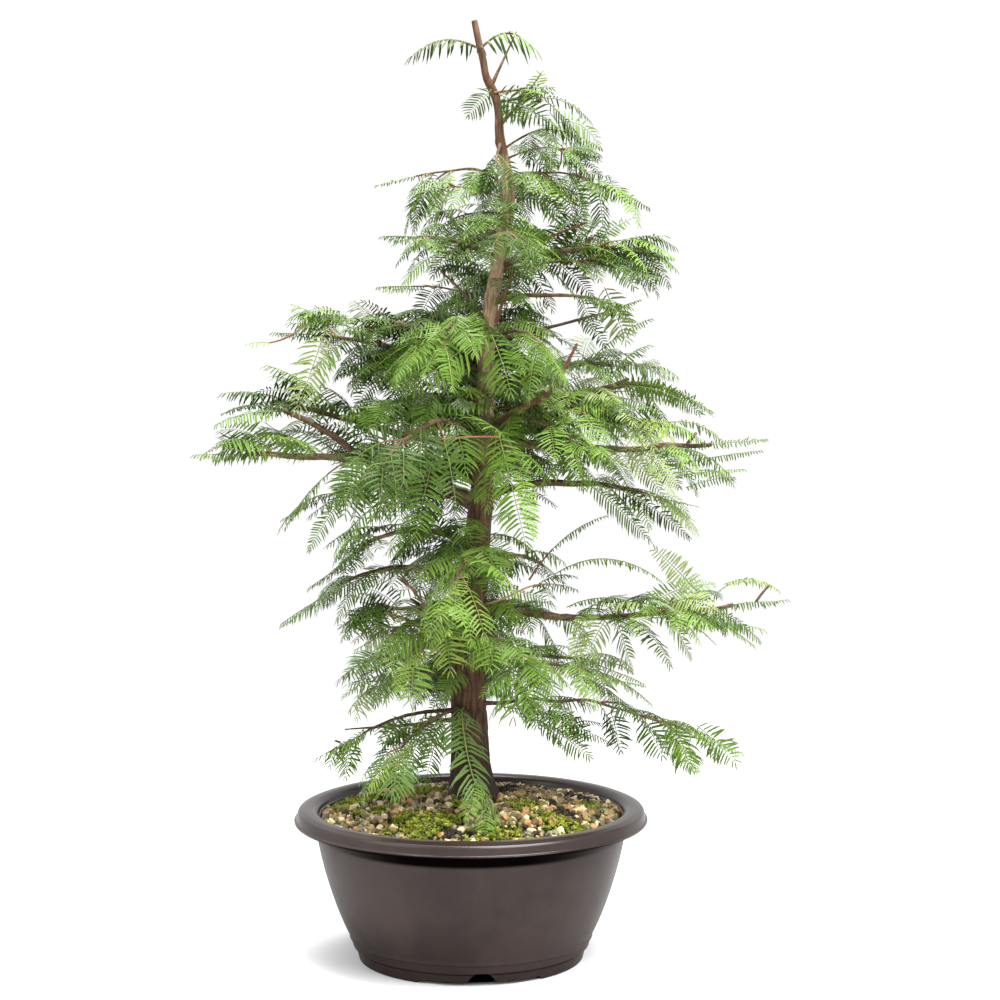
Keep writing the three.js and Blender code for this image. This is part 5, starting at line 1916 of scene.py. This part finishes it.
class REDWOOD_OT_soil(bpy.types.Operator):
    """Fills the pot with soil, and strews grit and moss on it"""

    bl_idname = "redwood.soil"
    bl_label = "Soil, grit and moss"

    def ground(self, finish):
        """The mound's top and sides down into the pot, as one closed skin."""
        edge = soil_wall(SOIL_EDGE)
        deep = np.array(MOUND_DEPTHS)
        sides = wall_radius(deep) - WALL - 1.2
        sides[-1] = FOOT_RADIUS - 3.0
        out = np.concatenate([np.linspace(0, edge, MOUND_RINGS) ** 0.85 * edge**0.15, sides, [0.0]])
        turn = np.linspace(0, math.tau, MOUND_TURNS, endpoint=False)
        right, back = out[:, None] * np.cos(turn), out[:, None] * np.sin(turn)
        height = soil_height(right, back)
        lumps = flat_rows(right.ravel(), back.ravel(), 9)
        rough = noise(lumps, 31) * 1.6 + noise(lumps * 2.6, 32) * 0.9 + noise(lumps * 6, 33) * 0.4
        height = height + rough.reshape(height.shape) - 0.6
        height[MOUND_RINGS:-1] = deep[:, None]
        height[-1] = deep[-1]
        height[0] = height[0].mean()
        outline = np.column_stack([out, height[:, 0]])
        points, quads, tris = lathe(outline[::-1], MOUND_TURNS)
        body = height[1:-1][::-1].ravel()
        points[: len(body), 2] = body
        return mesh_object("soil_mound", points, [quads, tris], [finish])

    def strewing_ground(self, name, moss_share, bare_share):
        """The mound's top, with the cover that the strewn things need."""
        rings, turns = 60, 150
        out = np.linspace(0.5, wall_radius(SOIL_EDGE) - WALL - 3.0, rings)
        turn = np.linspace(0, math.tau, turns, endpoint=False)
        right, back = (out[:, None] * np.cos(turn)).ravel(), (out[:, None] * np.sin(turn)).ravel()
        moss = patch_cover(right, back, MOSS_PATCHES, 41)
        foot = trunk_at(SOIL_TOP)[0][0]
        clear = smooth(17, 21, np.hypot(right - foot[0], back - foot[1]))
        points = np.column_stack([right, back, soil_height(right, back)])
        # Rings that widen face up with the corners of each square in the other order.
        quads = ring_faces(rings, turns)[:, (0, 3, 2, 1)]
        made = mesh_object(name, points, [quads], [])
        note(made, "cover", (moss * moss_share + (1 - moss) * bare_share) * clear)
        note(made, "crumbs", patch_cover(right, back, CRUMB_PATCHES, 51) * 0.85 + 0.06)
        return made

    def stones(self, size):
        """A few shapes of stone, some rounded and some broken."""
        things = bpy.data.collections.new("stones")
        rng = np.random.default_rng(61)
        for k, roundness in enumerate(STONE_ROUNDNESS):
            shape = bmesh.new()
            bmesh.ops.create_cube(shape, size=1.0)
            bmesh.ops.subdivide_edges(shape, edges=shape.edges[:], cuts=1, use_grid_fill=True)
            squeeze = Vector((rng.uniform(0.85, 1.2), rng.uniform(0.7, 1.0), rng.uniform(0.5, 0.8)))
            for v in shape.verts:
                ball = v.co.normalized() * 0.62
                v.co = v.co.lerp(ball, roundness) + Vector(rng.normal(0, 0.075, 3))
                v.co = Vector((v.co.x * squeeze.x, v.co.y * squeeze.y, v.co.z * squeeze.z)) * size
            for face in shape.faces:
                face.smooth = roundness > 0.75
            mesh = bpy.data.meshes.new("stone")
            shape.to_mesh(mesh)
            shape.free()
            things.objects.link(bpy.data.objects.new(f"stone_{k}", mesh))
        return things

    def tufts(self, size):
        """Small stars of pointed moss leaves."""
        things = bpy.data.collections.new("tufts")
        rng = np.random.default_rng(71)
        for k in range(TUFTS):
            points, faces = [], []
            for leaf in range(TUFT_LEAVES):
                turn = leaf * 2.4 + rng.uniform(-0.3, 0.3)
                out = heading_at(turn, rng.uniform(0.25, 1.25))
                side = np.array([-math.sin(turn), math.cos(turn), 0.0]) * 0.16
                reach = rng.uniform(0.5, 0.85)
                base, middle = len(points), out * reach * 0.55
                points += [out * 0.02 - UP * 0.1, middle + side, out * reach - UP * 0.08, middle - side]
                faces.append((base, base + 1, base + 2, base + 3))
            mesh = bpy.data.meshes.new("tuft")
            mesh.from_pydata((np.array(points) * size).tolist(), [], faces)
            things.objects.link(bpy.data.objects.new(f"tuft_{k}", mesh))
        return things

    def strew(self, name, ground, things, finishes, **values):
        """Strews the things over the ground in the finishes, and throws away their patterns."""
        slots = {f"Finish_{k}": finish for k, finish in enumerate(finishes)}
        made = grown_from_nodes(name, ground, scatter_tree(len(finishes)), Things=things, **values, **slots)
        belongs(made, "potting_grit")
        for thing in list(things.objects):
            discard(thing)
        bpy.data.collections.remove(things)

    def execute(self, context):
        look = context.scene.redwood_soil
        earth = mottled_finish("dark_earth", EARTH, (120.0, 900.0, 0.5), (0.9, 1.0), 0.0012, 0.2)
        belongs(self.ground(earth), "potting_grit", "soil")
        finishes = [
            mottled_finish(name, colours, (260.0, 1500.0, 0.4), (0.6, 0.85), 0.0002, 0.3)
            for name, colours in STONE_TONES.items()
        ]
        ground = self.strewing_ground("grit_ground", 0.12, 1.0)
        layout = {"Spacing": look.spacing, "Density": 120000.0, "Seed": look.seed}
        sizes = {"Smallest": 0.4, "Largest": 1.6, "Lift": 0.0008, "Tumble": 1.0}
        self.strew("grit_stones", ground, self.stones(look.stone), finishes, **layout, **sizes)
        finishes = [
            mottled_finish(name, colours, (300.0, 1500.0, 0.4), (0.7, 0.9), 0.0002, 0.2)
            for name, colours in MOSS_TONES.items()
        ]
        ground = self.strewing_ground("moss_ground", 1.0, 0.05)
        layout = {"Spacing": look.tuft_spacing, "Density": 400000.0, "Seed": look.seed + 1}
        sizes = {"Smallest": 0.6, "Largest": 1.2, "Lift": 0.0012, "Tumble": 0.08}
        self.strew("moss_tufts", ground, self.tufts(look.tuft), finishes, **layout, **sizes)
        return {"FINISHED"}


class REDWOOD_OT_trunk(bpy.types.Operator):
    """Raises the trunk, with its cracked and peeling bark"""

    bl_idname = "redwood.trunk"
    bl_label = "Trunk"

    def execute(self, context):
        look = context.scene.redwood_bark
        colours = (tuple(look.old), tuple(look.peeled), TRUNK_CRACKS)
        finish = bark_finish("trunk_bark", *colours, 520.0, 0.0006, (1.0, 1.0, 0.12))

        def peel(points):
            """Light bark from the trunk's middle up, and dark again at its top."""
            z = points[:, 2]
            patches = noise(points / np.array([7.0, 7.0, 34.0]), 91)
            light = 0.72 * smooth(360, 500, z) + 0.22 * smooth(560, 620, z)
            top = smooth(670, 700, z)
            return light * (1 - 0.85 * top) + 0.28 * patches - 0.12 - 0.16 * top

        points, quads, tris, crack = trunk_tube()
        # The foot is painted dark up to a ragged edge: painted shade for the trunk's foot in the shadow of the
        # low foliage. It is put into the cracks' share, so it takes their colour.
        ragged = points[:, 2] + 8 * noise(points / np.array([9.0, 9.0, 20.0]), 92)
        painted_foot_shade = 0.92 * (1 - smooth(152, 208, ragged))
        crack = np.maximum(crack * (1 - 0.65 * smooth(300, 480, points[:, 2])), painted_foot_shade)
        trunk = join_tubes("trunk_wood", [(points, quads, tris, crack)], [finish], peel)
        belongs(trunk, "bark", "trunk")
        return {"FINISHED"}


class REDWOOD_OT_boughs(bpy.types.Operator):
    """Grows the boughs' wood, and the cut stubs on it"""

    bl_idname = "redwood.boughs"
    bl_label = "Boughs"

    def execute(self, context):
        look = context.scene.redwood_bark
        finish = bark_finish("limb_bark", tuple(look.limb), LIMB_PEELED, LIMB_CRACKS, 800.0, 0.0004)
        tubes = []
        for bough in BOUGHS + BRANCHES:
            if bough.twig != "bark":
                continue
            end = 1.0 if not bough.leaf else 1 - min(46.0, 0.3 * bough.reach) / bough.reach
            tubes.append(limb_tube(bough, end))
        by_name = {bough.name: bough for bough in BOUGHS}
        for k, (name, *stub) in enumerate(STUBS):
            tubes.append(stub_tube(by_name[name], *stub, 300 + k))

        def peel(points):
            """Patches of peeled bark all over."""
            return 0.25 + 0.4 * noise(points / 12.0, 95)

        limbs = join_tubes("bough_wood", tubes, [finish], peel)
        belongs(limbs, "bark", *[f"bough_{b.name}" for b in BOUGHS if b.wood])
        return {"FINISHED"}


class REDWOOD_OT_twigs(bpy.types.Operator):
    """Runs the twigs, the bare shoots and the feathers' stalks along their paths"""

    bl_idname = "redwood.twigs"
    bl_label = "Twigs and stalks"

    def execute(self, context):
        crop = crop_of(context.scene)
        for kind, (name, colours, sides) in PATH_KINDS.items():
            finish = mottled_finish(f"{name}_bark", colours, (90.0, 900.0, 0.3), (0.45, 0.7), 0.00015, 0.35)
            paths = path_mesh(f"{name}_paths", crop.paths[kind])
            made = grown_from_nodes(name, paths, tube_tree(), Sides=sides, Thickness=1.0, Finish=finish)
            belongs(made, "bark")
        return {"FINISHED"}


class REDWOOD_OT_needles(bpy.types.Operator):
    """Joins the needles of each part of the crown into one piece, its greens dealt out by spray"""

    bl_idname = "redwood.needles"
    bl_label = "Needles"

    def execute(self, context):
        look = context.scene.redwood_foliage
        crop = crop_of(context.scene)
        finishes = [new_finish(f"needle_{name}", colour, 0.24, 0.44)[0] for name, colour in GREENS.items()]
        for region, batches in crop.needles.items():
            nodes = [f"foliage_{b.name}" for b in BOUGHS if b.leaf and region_of(b) == region]
            piece = needle_mesh(f"needles_{region}", batches, finishes, look.needle_width)
            belongs(piece, "needle_sprays", *nodes)
        return {"FINISHED"}


class REDWOOD_PT_panel(bpy.types.Panel):
    """Lists the redwood's pieces"""

    bl_label = "Dawn Redwood Bonsai"
    bl_idname = "REDWOOD_PT_panel"
    bl_space_type = "VIEW_3D"
    bl_region_type = "UI"
    bl_category = "Redwood"

    def draw(self, context):
        for operator in OPERATORS:
            self.layout.operator(operator.bl_idname)


SETTINGS = {
    "redwood_pot": RedwoodPot,
    "redwood_soil": RedwoodSoil,
    "redwood_bark": RedwoodBark,
    "redwood_foliage": RedwoodFoliage,
    "redwood_stage": RedwoodStage,
}
OPERATORS = (
    REDWOOD_OT_stage,
    REDWOOD_OT_pot,
    REDWOOD_OT_soil,
    REDWOOD_OT_trunk,
    REDWOOD_OT_boughs,
    REDWOOD_OT_twigs,
    REDWOOD_OT_needles,
)
CLASSES = (*SETTINGS.values(), *OPERATORS, REDWOOD_PT_panel)


def register():
    for made in CLASSES:
        bpy.utils.register_class(made)
    for name, group in SETTINGS.items():
        setattr(bpy.types.Scene, name, PointerProperty(type=group))


def unregister():
    for name in SETTINGS:
        delattr(bpy.types.Scene, name)
    for made in reversed(CLASSES):
        bpy.utils.unregister_class(made)


def main():
    register()
    bpy.ops.redwood.stage()
    bpy.ops.redwood.pot()
    bpy.ops.redwood.soil()
    bpy.ops.redwood.trunk()
    bpy.ops.redwood.boughs()
    bpy.ops.redwood.twigs()
    bpy.ops.redwood.needles()
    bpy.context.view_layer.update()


if __name__ == "__main__":
    main()
